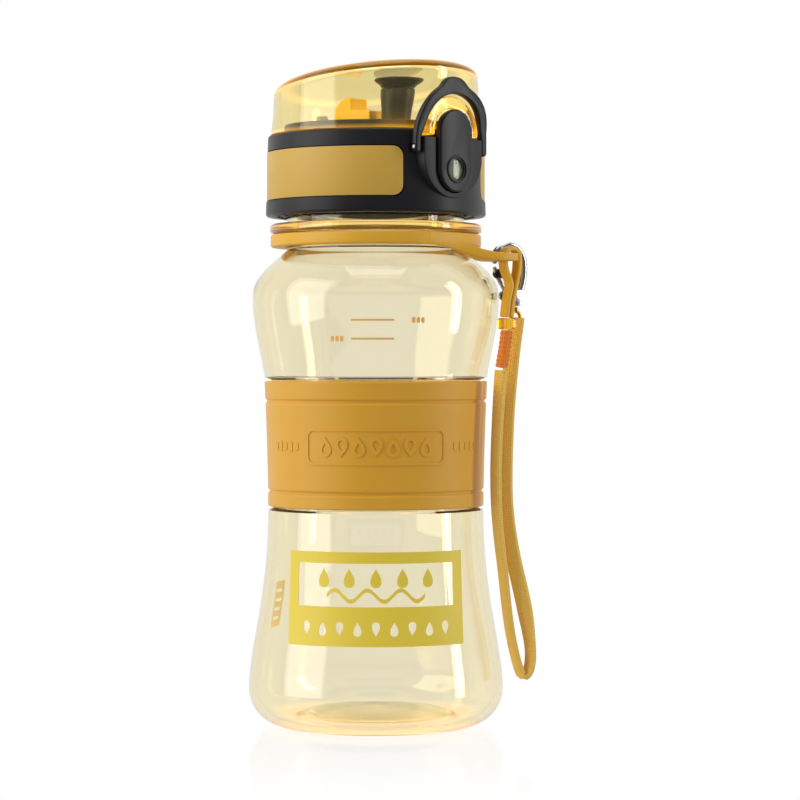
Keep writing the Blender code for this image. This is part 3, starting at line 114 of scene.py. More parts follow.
# %% Sizes of the dome, the spout and the latch
DOME_RADIUS, DOME_DRAFT, DOME_WALL = 29.2 * MM, 0.8 * MM, 2.0 * MM
DOME_FOOT, DOME_SHOULDER, DOME_CROWN, DOME_CORNER = DECK_TOP + GAP, 12.4 * MM, 16.9 * MM, 4.4 * MM
DOME_SLOPE = math.radians(7.5)
flip_joint = next(joint for joint in frame["joints"] if joint["name"] == "flip_open")
_, HINGE_Y, HINGE_Z = flip_joint["pos_m"]
HINGE = (-HINGE_Y, HINGE_Z)
HINGE_PIN, HINGE_BARREL = 0.8 * MM, 2.1 * MM
COIL_RADIUS, COIL_TURNS, SPRING_WIRE = 1.5 * MM, 4, 0.3 * MM
KNUCKLE, EAR = (2.4 * MM, 6.0 * MM), (6.3 * MM, 9.8 * MM)
SPOUT_Y, SPOUT_RADIUS, SPOUT_BORE = -8.0 * MM, 4.0 * MM, 3.1 * MM
SPOUT_HEIGHT, SPOUT_LIP, SPOUT_LEAN = 10.0 * MM, 0.7 * MM, 0.09
STOPPER_RADIUS, STOPPER_HEIGHT, STOPPER_NOSE = 6.75 * MM, 2.4 * MM, 1.2 * MM
LUG_OUTER, LUG_INNER, LUG_CENTRE, LUG_REACH = 9.8 * MM, 6.5 * MM, 162.7 * MM, 30.4 * MM
LUG_BACK = DOME_RADIUS - 0.8 * DOME_WALL
BUTTON_HALF, BUTTON_BOTTOM, BUTTON_FACE, BUTTON_THICKNESS = 6.15 * MM, 146.6 * MM, 32.0 * MM, 2.0 * MM
BUTTON_PIVOT, BUTTON_PIN, BUTTON_HUB = (29.7 * MM, 157.6 * MM), 0.5 * MM, 1.1 * MM
LENS_RADIUS, LENS_HEIGHT, LENS_DEPTH = 2.7 * MM, 152.7 * MM, 0.9 * MM
LEAF_FOOT = 3.4 * MM  # from the button's face back to the foot of its leaf spring
BOSS_HALF, BOSS_FACE, BOSS_BOTTOM, BOSS_TOP = 10.9 * MM, 30.8 * MM, 145.0 * MM, 161.2 * MM
BAIL_PIVOT, BAIL_EYE = (29.2 * MM, 158.3 * MM), (11.4 * MM, 13.4 * MM)
BAIL_THICKNESS, BAIL_EYE_RADIUS, BAIL_PIN = 1.9 * MM, 1.9 * MM, 0.6 * MM
BAIL_INNER, BAIL_OUTER, BAIL_TAB, BAIL_LEAN = 10.2 * MM, 13.1 * MM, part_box("lock_bail")[1].z, 1.9 * MM

# %% Sizes of the strap's parts
RING_HEIGHT, RING_INNER, RING_OUTER = 3.4 * MM, 25.1 * MM, 29.2 * MM
TAIL_THICKNESS, TAIL_WIDTH, SLOT_WIDTH, SLOT_LENGTH = 1.8 * MM, 10.0 * MM, 7.6 * MM, 3.1 * MM
BAR, TAB_HEIGHT = 1.4 * MM, 2.2 * MM
strap_joint = next(joint for joint in frame["joints"] if joint["name"] == "strap_swing")
BAR_PLACE = Vector(strap_joint["pos_m"])
ACROSS = -Vector(strap_joint["axis"]).normalized()
ALONG = Vector((ACROSS.y, -ACROSS.x, 0))
HEADING = Matrix.Rotation(math.atan2(ALONG.y, ALONG.x), 4, "Z")
TAPE_WIDTH, TAPE_THICKNESS, TAPE_SIDE = 3.2 * MM, 1.2 * MM, -1.9 * MM
HOOK_SIDE, HOOK_WIRE, HOOK_FOOT = 2.1 * MM, 0.95 * MM, (4.8 * MM, -13.2 * MM)
HOOK_BEND = BAR / 2 + 0.85 * MM + HOOK_WIRE  # from the bar to the middle of the wire
TAPE_BEND = BAR / 2 + 1.1 * MM + TAPE_THICKNESS / 2
FOLD_WIDTH, FOLD_THICKNESS = 3.2 * MM, 2.4 * MM
GATE_PIVOT, GATE_WIRE, GATE_HUB = (1.9 * MM, -10.4 * MM), 0.62 * MM, (0.9 * MM, 2.6 * MM)
GATE_PIN, CHEEK = 0.4 * MM, 0.6 * MM
KNOB_RADIUS, KNOB_REACH, KNOB_HEIGHT = 1.35 * MM, (-2.6 * MM, 1.0 * MM), -4.4 * MM
EYE_STEM, EYE_STEM_RADIUS, EYE_RING, EYE_WIRE = 1.3 * MM, 0.75 * MM, 1.4 * MM, 0.5 * MM
FERRULE, FERRULE_TOP, FERRULE_ALONG = (4.0 * MM, 4.6 * MM, 3.2 * MM), -16.6 * MM, -1.2 * MM
WEBBING_WIDTH, WEBBING_THICKNESS = 4.3 * MM, 1.5 * MM
LOOP_PLANE = math.radians(-43)
FACE_FRONT = Matrix.Rotation(math.pi / 2, 4, "X")  # stands a flat drawing up to face the front
print("bottle", round(RIM / MM, 1), "mm to the rim, foot", round(2 * FOOT_RADIUS / MM, 1), "mm across")

# %% [markdown]
# ## Camera
#
# The picture is taken from a little over half a metre away with a long lens, level with the
# middle of the bottle, so upright lines stay upright.

# %% Camera
FACING = math.radians(-133.0)
TOWARDS = Vector((math.cos(FACING), math.sin(FACING), 0))
RIGHTWARDS = Vector((-TOWARDS.y, TOWARDS.x, 0))
camera_data = bpy.data.cameras.new("camera")
camera_data.lens, camera_data.sensor_width = 126.0, 36.0
camera = bpy.data.objects.new("camera", camera_data)
bpy.context.scene.collection.objects.link(camera)
camera.location = TOWARDS * 0.778 + Vector((0, 0, 0.0992))
aim = RIGHTWARDS * 6.7 * MM + Vector((0, 0, 90.3 * MM))
camera.rotation_euler = (aim - camera.location).to_track_quat("-Z", "Y").to_euler()
camera_data.clip_start, camera_data.clip_end = 0.05, 20.0
bpy.context.scene.camera = camera

# %% [markdown]
# ## Finishes
#
# Every finish is a node tree. Two small helpers keep the trees readable: `Finish.add` makes any
# node from its type, its settings and its sockets, and `Field` lets Python's own operators
# write the shader's sums.


# %% Helpers for node trees
class Field:
    """A number that changes over a surface. Python's operators on it add Math nodes."""

    def __init__(self, finish, socket):
        self.finish, self.socket = finish, socket

    def maths(self, operation, *values):
        return self.finish.add("ShaderNodeMath", {"operation": operation}, dict(enumerate(values)))

    def __add__(self, other):
        return self.maths("ADD", self, other)

    def __sub__(self, other):
        return self.maths("SUBTRACT", self, other)

    def __mul__(self, other):
        return self.maths("MULTIPLY", self, other)

    __radd__, __rmul__ = __add__, __mul__

    def sin(self):
        return self.maths("SINE", self)


class Finish:
    """A material with one Principled shader, and one method that adds every other node."""

    def __init__(self, name, colour, roughness, metallic=0.0, **constants):
        self.material = bpy.data.materials.new(name)
        self.material.use_nodes = True
        self.tree = self.material.node_tree
        self.shader = self.tree.nodes["Principled BSDF"]
        self.output = self.tree.nodes["Material Output"]
        self.set("Base Color", colour)
        self.set("Roughness", roughness)
        self.set("Metallic", metallic)
        for socket, value in constants.items():
            self.set(socket.replace("_", " "), value)

    def set(self, name, value):
        socket = self.shader.inputs[name]
        if isinstance(value, Field):
            self.tree.links.new(value.socket, socket)
        elif isinstance(value, tuple):
            socket.default_value = (*value, 1.0) if len(socket.default_value) == 4 else value
        else:
            socket.default_value = value

    def add(self, kind, settings=None, sockets=None, output=0):
        node = self.tree.nodes.new(kind)
        for name, value in (settings or {}).items():
            setattr(node, name, value)
        for name, value in (sockets or {}).items():
            if isinstance(value, Field):
                self.tree.links.new(value.socket, node.inputs[name])
            else:
                node.inputs[name].default_value = value
        return Field(self, node.outputs[output])

    def place(self, source="Object"):
        return self.add("ShaderNodeTexCoord", output=source)

    def part(self, vector, axis):
        return self.add("ShaderNodeSeparateXYZ", {}, {0: vector}, axis)

    def noise(self, scale, detail=2.0, vector=None, stretch=None):
        where = vector or self.place()
        if stretch:
            where = self.add("ShaderNodeMapping", {}, {"Vector": where, "Scale": stretch})
        return self.add("ShaderNodeTexNoise", {}, {"Vector": where, "Scale": scale, "Detail": detail})

    def far_from_axis(self):
        """How far the point is from the bottle's upright axis."""
        flat = self.add("ShaderNodeVectorMath", {"operation": "MULTIPLY"},
                        {0: self.place(), 1: (1.0, 1.0, 0.0)})
        return self.add("ShaderNodeVectorMath", {"operation": "LENGTH"}, {0: flat}, "Value")

    def ramp(self, value, low, high, first=0.0, last=1.0):
        """An even change from the first number to the last while the value goes from low to high."""
        return self.add("ShaderNodeMapRange", {"interpolation_type": "SMOOTHSTEP"},
                        {"Value": value, "From Min": low, "From Max": high, "To Min": first, "To Max": last})

    def mix(self, share, first, second):
        """One colour to another, by a share from 0 to 1."""
        return self.add("ShaderNodeMix", {"data_type": "RGBA"},
                        {0: share, 6: (*first, 1.0), 7: (*second, 1.0)}, 2)

    def bump(self, height, strength, distance):
        self.set("Normal", self.add("ShaderNodeBump", {}, {"Height": height, "Strength": strength,
                                                          "Distance": distance}))
        return self


def tone(red, green, blue):
    """A colour as a screen names it, 0 to 255, turned into light."""
    return tuple((value / 255 / 12.92) if value < 11 else ((value / 255 + 0.055) / 1.055) ** 2.4
                 for value in (red, green, blue))


# %% [markdown]
# ## Light
#
# A product set on white. The eye sees plain white behind the bottle and a little less through
# it, a mirror sees a white sweep behind the bottle and a dim room in front of it, and all else
# gets a soft even light. A large soft panel on the left is the key.


# %% World
class Air(Finish):
    """The world's own node tree, with the same way to add nodes."""

    def __init__(self, world):
        world.use_nodes = True
        self.tree = world.node_tree
        self.tree.nodes.clear()

    def ray(self, kind):
        return self.add("ShaderNodeLightPath", output=f"Is {kind} Ray")

    def either(self, share, first, second):
        return self.add("ShaderNodeMix", {"data_type": "FLOAT"}, {0: share, 2: first, 3: second})


bpy.context.scene.view_settings.view_transform = "Standard"
world = bpy.data.worlds.new("studio")
bpy.context.scene.world = world
air = Air(world)
ROOM, SWEEP, THROUGH, AROUND = 0.13, 1.0, 0.83, 0.46
behind = air.add("ShaderNodeVectorMath", {"operation": "DOT_PRODUCT"},
                 {0: air.place("Generated"), 1: tuple(-TOWARDS)}, "Value")
sweep = air.add("ShaderNodeMapRange", {"interpolation_type": "SMOOTHSTEP"},
                {"Value": behind, "From Min": -0.15, "From Max": 0.35, "To Min": ROOM, "To Max": SWEEP})
level = air.either(air.ray("Glossy"), AROUND, sweep)
level = air.either(air.ray("Transmission"), level, THROUGH)
level = air.either(air.ray("Camera"), level, 1.0)
backdrop = air.add("ShaderNodeBackground", {}, {"Color": (1.0, 1.0, 1.0, 1.0), "Strength": level})
sky = air.tree.nodes.new("ShaderNodeOutputWorld")
air.tree.links.new(backdrop.socket, sky.inputs["Surface"])


# %% Panels of light
def panel(name, sideways, forwards, height, size, power, aim_height=95 * MM):
    """A soft panel placed by how far it is to the right of the bottle and in front of it."""
    data = bpy.data.lights.new(name, "AREA")
    data.shape, data.size, data.size_y, data.energy = "RECTANGLE", size[0], size[1], power
    lamp = bpy.data.objects.new(name, data)
    bpy.context.scene.collection.objects.link(lamp)
    lamp.location = RIGHTWARDS * sideways + TOWARDS * forwards + Vector((0, 0, height))
    lamp.rotation_euler = (Vector((0, 0, aim_height)) - lamp.location).to_track_quat("-Z", "Y").to_euler()
    return lamp


panel("key_panel", -0.90, 0.34, 0.40, (0.8, 1.1), 7.0)
panel("right_strip", 0.75, 0.12, 0.25, (0.12, 0.7), 1.9)
panel("top_panel", 0.0, 0.1, 1.1, (0.6, 0.6), 1.8)

# %% [markdown]
# ### Clear amber plastic
#
# The tint of a clear moulding is in its depth: a thin wall seen square on is nearly colourless,
# and the same wall seen edge on is deep amber. So the surface is colourless and the volume
# absorbs blue and some green. On top of that an amber glow is painted at some edges as emission,
# a painted stand-in for light the moulding gathers there. Shadow rays pass through, or a bottle
# would shade its own inside.

# %% Clear amber plastic
def clear_plastic(name, absorbed, roughness, ripple):
    """Clear plastic that takes out so much red, green and blue for each metre of depth."""
    finish = Finish(name, (1.0, 1.0, 1.0), roughness, IOR=1.5, Transmission_Weight=1.0)
    cloud = finish.noise(90.0, 2.0)
    finish.set("Roughness", cloud * 0.02 + roughness)
    finish.bump(finish.noise(45.0, 1.0), ripple, 0.2 * MM)
    most = max(absorbed)
    volume = finish.add("ShaderNodeVolumeAbsorption", {}, {
        "Color": (*(1 - value / most for value in absorbed), 1.0), "Density": most})
    through = finish.add("ShaderNodeBsdfTransparent", {}, {"Color": (0.97, 0.95, 0.88, 1.0)})
    rays = finish.add("ShaderNodeLightPath", output="Is Shadow Ray")
    either = finish.add("ShaderNodeMixShader", {}, {0: rays, 1: Field(finish, finish.shader.outputs[0]),
                                                    2: through})
    finish.tree.links.new(volume.socket, finish.output.inputs["Volume"])
    finish.tree.links.new(either.socket, finish.output.inputs["Surface"])
    return finish


AMBER = clear_plastic("amber_clear", (3.0, 24.0, 110.0), 0.02, 0.05)
DOME_AMBER = clear_plastic("dome_amber", (5.0, 42.0, 220.0), 0.015, 0.04)
LENS = clear_plastic("lens_clear", (120.0, 60.0, 300.0), 0.05, 0.02)
FERRULE_CLEAR = clear_plastic("ferrule_clear", (10.0, 120.0, 700.0), 0.12, 0.2)


def painted_edge_glow(finish, share, strength):
    """Painted glow: amber emission at the edges, standing in for light that a clear moulding gathers there,
    given as a share over the surface.
    """
    finish.set("Emission Color", finish.mix(share, (0.0, 0.0, 0.0), tone(250, 176, 20)))
    finish.set("Emission Strength", strength)


# Painted glow on the bottle: amber emission at the neck's flange and along the foot's edge.
wall_height = AMBER.part(AMBER.place(), 2)
rim = (AMBER.ramp(AMBER.far_from_axis(), NECK_RADIUS + 2 * MM, FLANGE_RADIUS)
       * AMBER.ramp(wall_height, NECK_BASE, FLANGE_BOTTOM))
foot_edge = AMBER.ramp(wall_height, 0.6 * MM, 3.0 * MM, 1.0, 0.0)
painted_edge_glow(AMBER, rim * 0.8 + foot_edge, 0.20)
# Painted glow on the dome: amber emission along its brow, its hem and the front of its outer wall.
place = DOME_AMBER.place()
sloped = DOME_AMBER.part(place, 2) + DOME_AMBER.part(place, 1) * math.tan(DOME_SLOPE)
crest = DOME_AMBER.ramp(sloped, DECK_TOP + DOME_SHOULDER + 1.0 * MM, DECK_TOP + DOME_SHOULDER + 3.0 * MM)
brow = crest * DOME_AMBER.ramp(DOME_AMBER.far_from_axis(), DOME_RADIUS - 7.5 * MM, DOME_RADIUS - 3 * MM)
upright = DOME_AMBER.part(place, 2)
hem = DOME_AMBER.ramp(upright, DECK_TOP + 0.3 * MM, DECK_TOP + 1.6 * MM, 0.8, 0.0)
arch = (DOME_AMBER.ramp(DOME_AMBER.far_from_axis(), DOME_RADIUS - 0.6 * MM, DOME_RADIUS + 0.4 * MM)
        * DOME_AMBER.ramp(DOME_AMBER.part(place, 1), -24 * MM, -20 * MM, 1.0, 0.0))
painted_edge_glow(DOME_AMBER, brow + hem * 0.6 + arch * 0.7, 0.45)
print("clear finishes:", AMBER.material.name, DOME_AMBER.material.name)


# %% [markdown]
# ### Moulded and rubbery finishes
#
# A moulded skin has a fine spark texture, slow changes of gloss where fingers have been and, on
# silicone, a dusty look. Two noises do this: a coarse one for gloss and colour, a fine one for
# the grain.

# %% Moulded plastic and silicone
def moulded(name, colour, shade, roughness, grain, depth, **constants):
    """Moulded skin: colour drifts a little towards the shade, gloss drifts too, and a fine grain."""
    finish = Finish(name, colour, roughness, **constants)
    drift = finish.noise(60.0, 3.0)
    finish.set("Base Color", finish.mix(drift, colour, shade))
    finish.set("Roughness", drift * 0.14 + (roughness - 0.07))
    finish.bump(finish.noise(grain, 2.0), 0.35, depth)
    return finish


BLACK = moulded("black_plastic", tone(27, 26, 29), tone(34, 33, 37), 0.42, 2600.0, 0.03 * MM,
                Specular_IOR_Level=0.32)
BLACK_GLOSS = moulded("black_gloss", tone(24, 24, 27), tone(29, 29, 33), 0.34, 2200.0, 0.01 * MM,
                      Specular_IOR_Level=0.32)
SLEEVE = moulded("sleeve_silicone", tone(230, 172, 36), tone(222, 160, 28), 0.52, 1800.0, 0.04 * MM,
                 Sheen_Weight=0.2)
BAND = moulded("band_silicone", tone(214, 172, 66), tone(206, 162, 56), 0.5, 1800.0, 0.04 * MM,
               Sheen_Weight=0.2)
RUBBER = moulded("yellow_rubber", tone(246, 196, 20), tone(240, 184, 14), 0.38, 1200.0, 0.02 * MM)
GREY = moulded("grey_rubber", tone(150, 146, 130), tone(135, 132, 118), 0.5, 1500.0, 0.03 * MM)
SEAL = moulded("seal_silicone", tone(235, 232, 222), tone(226, 222, 210), 0.45, 1500.0, 0.03 * MM)
STRAP = moulded("strap_yellow", tone(236, 182, 46), tone(228, 168, 34), 0.46, 1400.0, 0.04 * MM)
INK = moulded("print_ink", tone(240, 216, 70), tone(236, 208, 56), 0.5, 2400.0, 0.01 * MM)
PALE_INK = moulded("scale_ink", tone(250, 196, 104), tone(244, 184, 90), 0.5, 2400.0, 0.01 * MM)


# %% [markdown]
# ### Metal
#
# Plated zinc is bright with faint polishing lines along the hook. Spring wire and pins are drawn,
# so their scratches run one way.

# %% Metals
def metal(name, colour, roughness, stretch, depth):
    finish = Finish(name, colour, roughness, 1.0)
    lines = finish.noise(900.0, 3.0, stretch=stretch)
    finish.set("Roughness", lines * 0.18 + (roughness - 0.06))
    finish.bump(lines, 0.3, depth)
    return finish


CHROME = metal("chrome", tone(206, 206, 210), 0.14, (1.0, 1.0, 0.15), 0.01 * MM)
STEEL = metal("steel", tone(180, 180, 184), 0.3, (0.1, 1.0, 1.0), 0.02 * MM)
EYE_AMBER = metal("lacquered_eye", tone(222, 160, 60), 0.25, (1.0, 1.0, 0.3), 0.01 * MM)


# %% [markdown]
# ### Woven webbing
#
# The webbing is a flat tube of plain weave. Its own UV map runs along the length and across the
# width in metres, so the picks stay the same size round every bend and twist.

# %% Webbing
def woven(name, face, edge, pick, rib):
    """Weave from two crossed waves in the ribbon's own coordinates."""
    finish = Finish(name, face, 0.75, Sheen_Weight=0.25)
    map_ = finish.place("UV")
    along, across = finish.part(map_, 0), finish.part(map_, 1)
    weft = (along * (2 * math.pi / pick) + (across * (math.pi / rib)).sin() * 1.6).sin()
    warp = (across * (2 * math.pi / rib)).sin()
    height = weft * 0.5 + warp * 0.5
    fluff = finish.noise(1500.0, 3.0)
    share = height * 0.3 + fluff * 0.6
    finish.set("Base Color", finish.mix(share, face, edge))
    finish.set("Roughness", fluff * 0.2 + 0.65)
    finish.bump(height, 0.7, 0.14 * MM)
    return finish


WEBBING = woven("yellow_webbing", tone(252, 214, 104), tone(242, 178, 62), 0.75 * MM, 0.62 * MM)
ORANGE = woven("orange_webbing", tone(246, 150, 44), tone(228, 116, 26), 0.9 * MM, 0.6 * MM)
THREAD = moulded("stitch_thread", tone(246, 148, 60), tone(232, 110, 30), 0.7, 3000.0, 0.05 * MM)

# %% [markdown]
# ## Tools of the bench
#
# A few helpers make every shape below: a turned profile, a filled outline with thickness, a
# tube along a line, and cuts and joins. `settle` bakes an object's modifiers and place into its
# mesh, so each finished piece sits at the origin.


# %% Helpers for shapes
def linked(name, data, finish=None):
    made = bpy.data.objects.new(name, data)
    bpy.context.scene.collection.objects.link(made)
    data.materials.clear()
    if finish:
        data.materials.append(finish.material)
    return made


@contextmanager
def opened(mesh):
    """A mesh opened for work on its points and faces, and closed again."""
    work = bmesh.new()
    work.from_mesh(mesh)
    yield work
    work.to_mesh(mesh)
    work.free()


def settle(made, weld=0.002 * MM):
    """The object as its modifiers leave it: a plain mesh, its place in its points."""
    bpy.context.view_layer.update()
    graph = bpy.context.evaluated_depsgraph_get()
    mesh = bpy.data.meshes.new_from_object(made.evaluated_get(graph))
    mesh.transform(made.matrix_world)
    if weld:
        with opened(mesh) as work:
            bmesh.ops.remove_doubles(work, verts=work.verts, dist=weld)
    name = made.name
    bpy.data.objects.remove(made, do_unlink=True)
    fresh = bpy.data.objects.new(name, mesh)
    mesh.name = name
    bpy.context.scene.collection.objects.link(fresh)
    return fresh


def smooth(made, degrees=32):
    made.data.shade_smooth()
    made.data.set_sharp_from_angle(angle=math.radians(degrees))
    return made


def from_work(name, work, finish=None):
    mesh = bpy.data.meshes.new(name)
    work.to_mesh(mesh)
    work.free()
    return linked(name, mesh, finish)


def turned(name, profile, steps=FINE, closed=False, at=(0, 0, 0)):
    """A profile of (radius, height) points turned about an upright line. Its outer side runs downwards."""
    mesh = bpy.data.meshes.new(name)
    edges = [(i, i + 1) for i in range(len(profile) - 1)] + ([(len(profile) - 1, 0)] if closed else [])
    mesh.from_pydata([(r, 0.0, z) for r, z in profile], edges, [])
    made = linked(name, mesh)
    made.location = at
    screw = made.modifiers.new("turn", "SCREW")
    screw.steps = screw.render_steps = steps
    screw.use_merge_vertices = True
    screw.merge_threshold = 1e-6
    return settle(made)


def rod(name, start, end, radius, steps=SMALL, rounding=0.0):
    """A round bar from one point to another."""
    start, end = Vector(start), Vector(end)
    work = bmesh.new()
    bmesh.ops.create_cone(work, cap_ends=True, segments=steps, radius1=radius, radius2=radius,
                          depth=(end - start).length)
    made = from_work(name, work)
    upwards = (end - start).to_track_quat("Z", "Y").to_matrix().to_4x4()
    made.matrix_world = Matrix.Translation((start + end) / 2) @ upwards
    if rounding:
        soften(made, rounding, 3)
    return settle(made)


def box(name, low, high, rounding=0.0, segments=4):
    low, high = Vector(low), Vector(high)
    work = bmesh.new()
    bmesh.ops.create_cube(work, size=1.0)
    bmesh.ops.scale(work, vec=high - low, verts=work.verts)
    bmesh.ops.translate(work, vec=(low + high) / 2, verts=work.verts)
    made = from_work(name, work)
    if rounding:
        soften(made, rounding, segments)
    return settle(made)


def cross_rod(name, start, end, pivot, radius, **rest):
    """A rod from side to side at a pivot, (how far to the front, height)."""
    return rod(name, (start, -pivot[0], pivot[1]), (end, -pivot[0], pivot[1]), radius, **rest)


def soften(made, width, segments=3, degrees=30):
    bevel = made.modifiers.new("round", "BEVEL")
    bevel.width, bevel.segments = width, segments
    bevel.limit_method, bevel.angle_limit = "ANGLE", math.radians(degrees)
    return made


def plate(name, outlines, thickness, facing="Y", at=0.0, rounding=0.0):
    """Flat outlines filled and thickened. Facing Y they lie in X and Z at y = at; facing X in Y and Z;
    facing the bar they lie across the strap's bar, at a place along it."""
    data = bpy.data.curves.new(name, "CURVE")
    data.dimensions, data.fill_mode, data.extrude = "2D", "BOTH", thickness / 2
    for outline in outlines:
        spline = data.splines.new("POLY")
        spline.points.add(len(outline) - 1)
        for point, (across, up) in zip(spline.points, outline):
            point.co = (across, up, 0, 1)
        spline.use_cyclic_u = True
    made = linked(name, data)
    made.matrix_world = {"Y": Matrix.Translation((0, at, 0)),
                         "X": Matrix.Translation((at, 0, 0)) @ Matrix.Rotation(math.pi / 2, 4, "Z"),
                         "bar": Matrix.Translation(BAR_PLACE + ACROSS * at) @ HEADING}[facing] @ FACE_FRONT
    made = settle(made)
    if rounding:
        with opened(made.data) as work:
            bmesh.ops.dissolve_limit(work, angle_limit=math.radians(1), verts=work.verts, edges=work.edges)
        made = settle(soften(made, rounding))
    return made


def pair(name, outline, reach, rounding):
    """A plate on each side, between two distances from the middle."""
    return [plate(f"{name}_{sign}", [outline], reach[1] - reach[0], facing="X",
                  at=sign * (reach[0] + reach[1]) / 2,
                  rounding=rounding) for sign in (-1, 1)]


def tube(name, points, radius, sides=4):
    """A round tube along points, with closed ends."""
    data = bpy.data.curves.new(name, "CURVE")
    data.dimensions, data.bevel_depth, data.bevel_resolution, data.use_fill_caps = "3D", radius, sides, True
    spline = data.splines.new("POLY")
    spline.points.add(len(points) - 1)
    for point, where in zip(spline.points, points):
        point.co = (*where, 1)
    return settle(linked(name, data))


def arc(centre, radius, start, end, count):
    turns = (math.radians(start + (end - start) * i / count) for i in range(count + 1))
    return [(centre[0] + radius * math.cos(t), centre[1] + radius * math.sin(t)) for t in turns]


def corner(r, z, size, start, end, count):
    """A profile's rounded corner: where it would be sharp, its size, and the quarter turn it makes."""
    middle = math.radians((start + end) / 2)
    centre = (r - math.copysign(size, math.cos(middle)), z - math.copysign(size, math.sin(middle)))
    return arc(centre, size, start, end, count)


def curve(start, leave, arrive, end, count):
    ends = [Vector((*p, 0)) for p in (start, leave, arrive, end)]
    return [(p.x, p.y) for p in geometry.interpolate_bezier(*ends, count + 1)]


def through(points, count):
    """A smooth curve through chosen points, read at even steps."""
    known = [Vector(p) for p in points]
    padded = [2 * known[0] - known[1], *known, 2 * known[-1] - known[-2]]
    fine = []
    for a, b, c, d in zip(padded, padded[1:], padded[2:], padded[3:]):
        for t in (i / 12 for i in range(12)):
            fine.append(0.5 * (2 * b + (c - a) * t + (2 * a - 5 * b + 4 * c - d) * t * t
                               + (3 * b - a - 3 * c + d) * t ** 3))
    fine.append(known[-1])
    along = [0.0]
    for p, q in zip(fine, fine[1:]):
        along.append(along[-1] + (q - p).length)
    read, i = [], 0
    for k in range(count + 1):
        wanted = along[-1] * k / count
        while i < len(fine) - 2 and along[i + 1] < wanted:
            i += 1
        share = (wanted - along[i]) / (along[i + 1] - along[i])
        read.append(fine[i].lerp(fine[i + 1], min(max(share, 0.0), 1.0)))
    return read


def combine(made, others, operation):
    """Joins or cuts in one go, and takes the other shapes away."""
    for other in others:
        step = made.modifiers.new(operation, "BOOLEAN")
        step.operation, step.object = operation, other
    made = settle(made)
    for other in others:
        bpy.data.objects.remove(other, do_unlink=True)
    return made


def joined(made, *others):
    return combine(made, others, "UNION")


def cut(made, *others):
    return combine(made, others, "DIFFERENCE")


def added(made, finish, body, angle=32):
    """A piece on a body: its finish and smooth shading."""
    made.data.materials.clear()
    made.data.materials.append(finish.material)
    smooth(made, angle)
    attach(made, body)
    return made


def finished(made, finish, node, angle=32):
    """The same, for a piece that stands for one node of the frame."""
    added(made, finish, frame["nodes"][node]["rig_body"], angle)
    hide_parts(node)
    return made


# %% [markdown]
# ## Floor
#
# The white goes on under the bottle with no horizon. The floor is only a faint mirror, strongest
# at the foot, so all that shows of it is a trace of the bottle's reflection.

# %% Floor
FLOOR = Finish("floor_white", (1.0, 1.0, 1.0), 0.1, 1.0)
away = FLOOR.far_from_axis()
FLOOR.set("Alpha", FLOOR.ramp(away, 30 * MM, 140 * MM, 0.20, 0.02))
FLOOR.set("Roughness", FLOOR.noise(4.0) * 0.05 + 0.08)
work = bmesh.new()
bmesh.ops.create_grid(work, x_segments=1, y_segments=1, size=4.0)
floor = from_work("floor", work, FLOOR)
floor.location = (0, 0, -0.05 * MM)

# %% [markdown]
# ## The bottle
#
# The real bottle is blown in one piece with an even wall, and its neck is moulded with a thread.
# The side is drawn as curves from the foot to the neck, once for the outside and once set in by
# the wall, and the profile is turned. The thread is a helix, so it is wound by Geometry Nodes:
# a spiral with a four-sided section, whose lead and turns are inputs.


# %% The bottle's side
def body_outline(inset=0.0):
    """The side from the foot's flat ring to the neck's base, set in by a wall."""
    foot_centre = FOOT_RADIUS - FOOT_CORNER
    foot = [(foot_centre + (FOOT_CORNER - inset) * math.sin(t),
             FOOT_HEIGHT - (FOOT_HEIGHT - inset) * math.cos(t))
            for t in (math.radians(5 * i) for i in range(19))]
    waist = curve((FOOT_RADIUS - inset, FOOT_HEIGHT), (FOOT_RADIUS - inset, FOOT_HEIGHT + 11 * MM),
                  (WAIST_RADIUS - inset, SLEEVE_BOTTOM - 25 * MM),
                  (WAIST_RADIUS - inset, SLEEVE_BOTTOM - MM), 20)
    chest = curve((CHEST_RADIUS - inset, SLEEVE_TOP + MM),
                  (CHEST_RADIUS + 0.8 * MM - inset, SLEEVE_TOP + 7 * MM),
                  (SHOULDER_RADIUS - inset, SHOULDER_HEIGHT - 8 * MM),
                  (SHOULDER_RADIUS - inset, SHOULDER_HEIGHT), 14)
    slope = inset * 0.7
    shoulder = curve((SHOULDER_RADIUS - inset, SHOULDER_HEIGHT),
                     (SHOULDER_RADIUS - inset, SHOULDER_HEIGHT + 5.3 * MM - slope),
                     (NECK_RADIUS + 6.5 * MM - slope, NECK_BASE - 5.6 * MM - slope),
                     (NECK_RADIUS - slope, NECK_BASE - slope), 22)
    seat = SLEEVE_WALL + GAP
    recess = [(WAIST_RADIUS - seat - inset, SLEEVE_BOTTOM - GAP),
              (CHEST_RADIUS - seat - inset, SLEEVE_TOP + GAP)]
    return foot + waist[1:] + recess + chest + shoulder[1:]


def body_radius(height):
    """The bottle's outer radius at a height."""
    side = body_outline()
    for (r0, z0), (r1, z1) in zip(side, side[1:]):
        if z0 <= height <= z1 and z1 > z0:
            return r0 + (r1 - r0) * (height - z0) / (z1 - z0)
    return NECK_RADIUS


# %% A thread wound by Geometry Nodes
def new_group(name, inputs, takes_geometry=False):
    """An empty group with named inputs of their own defaults: the tree, what it is given, its result."""
    tree = bpy.data.node_groups.new(name, "GeometryNodeTree")
    if takes_geometry:
        tree.interface.new_socket("Geometry", in_out="INPUT", socket_type="NodeSocketGeometry")
    for label, kind, value in (*inputs, ("Finish", "Material", None)):
        socket = tree.interface.new_socket(label, in_out="INPUT", socket_type=f"NodeSocket{kind}")
        if value is not None:
            socket.default_value = value
    tree.interface.new_socket("Geometry", in_out="OUTPUT", socket_type="NodeSocketGeometry")
    return tree, tree.nodes.new("NodeGroupInput"), tree.nodes.new("NodeGroupOutput")


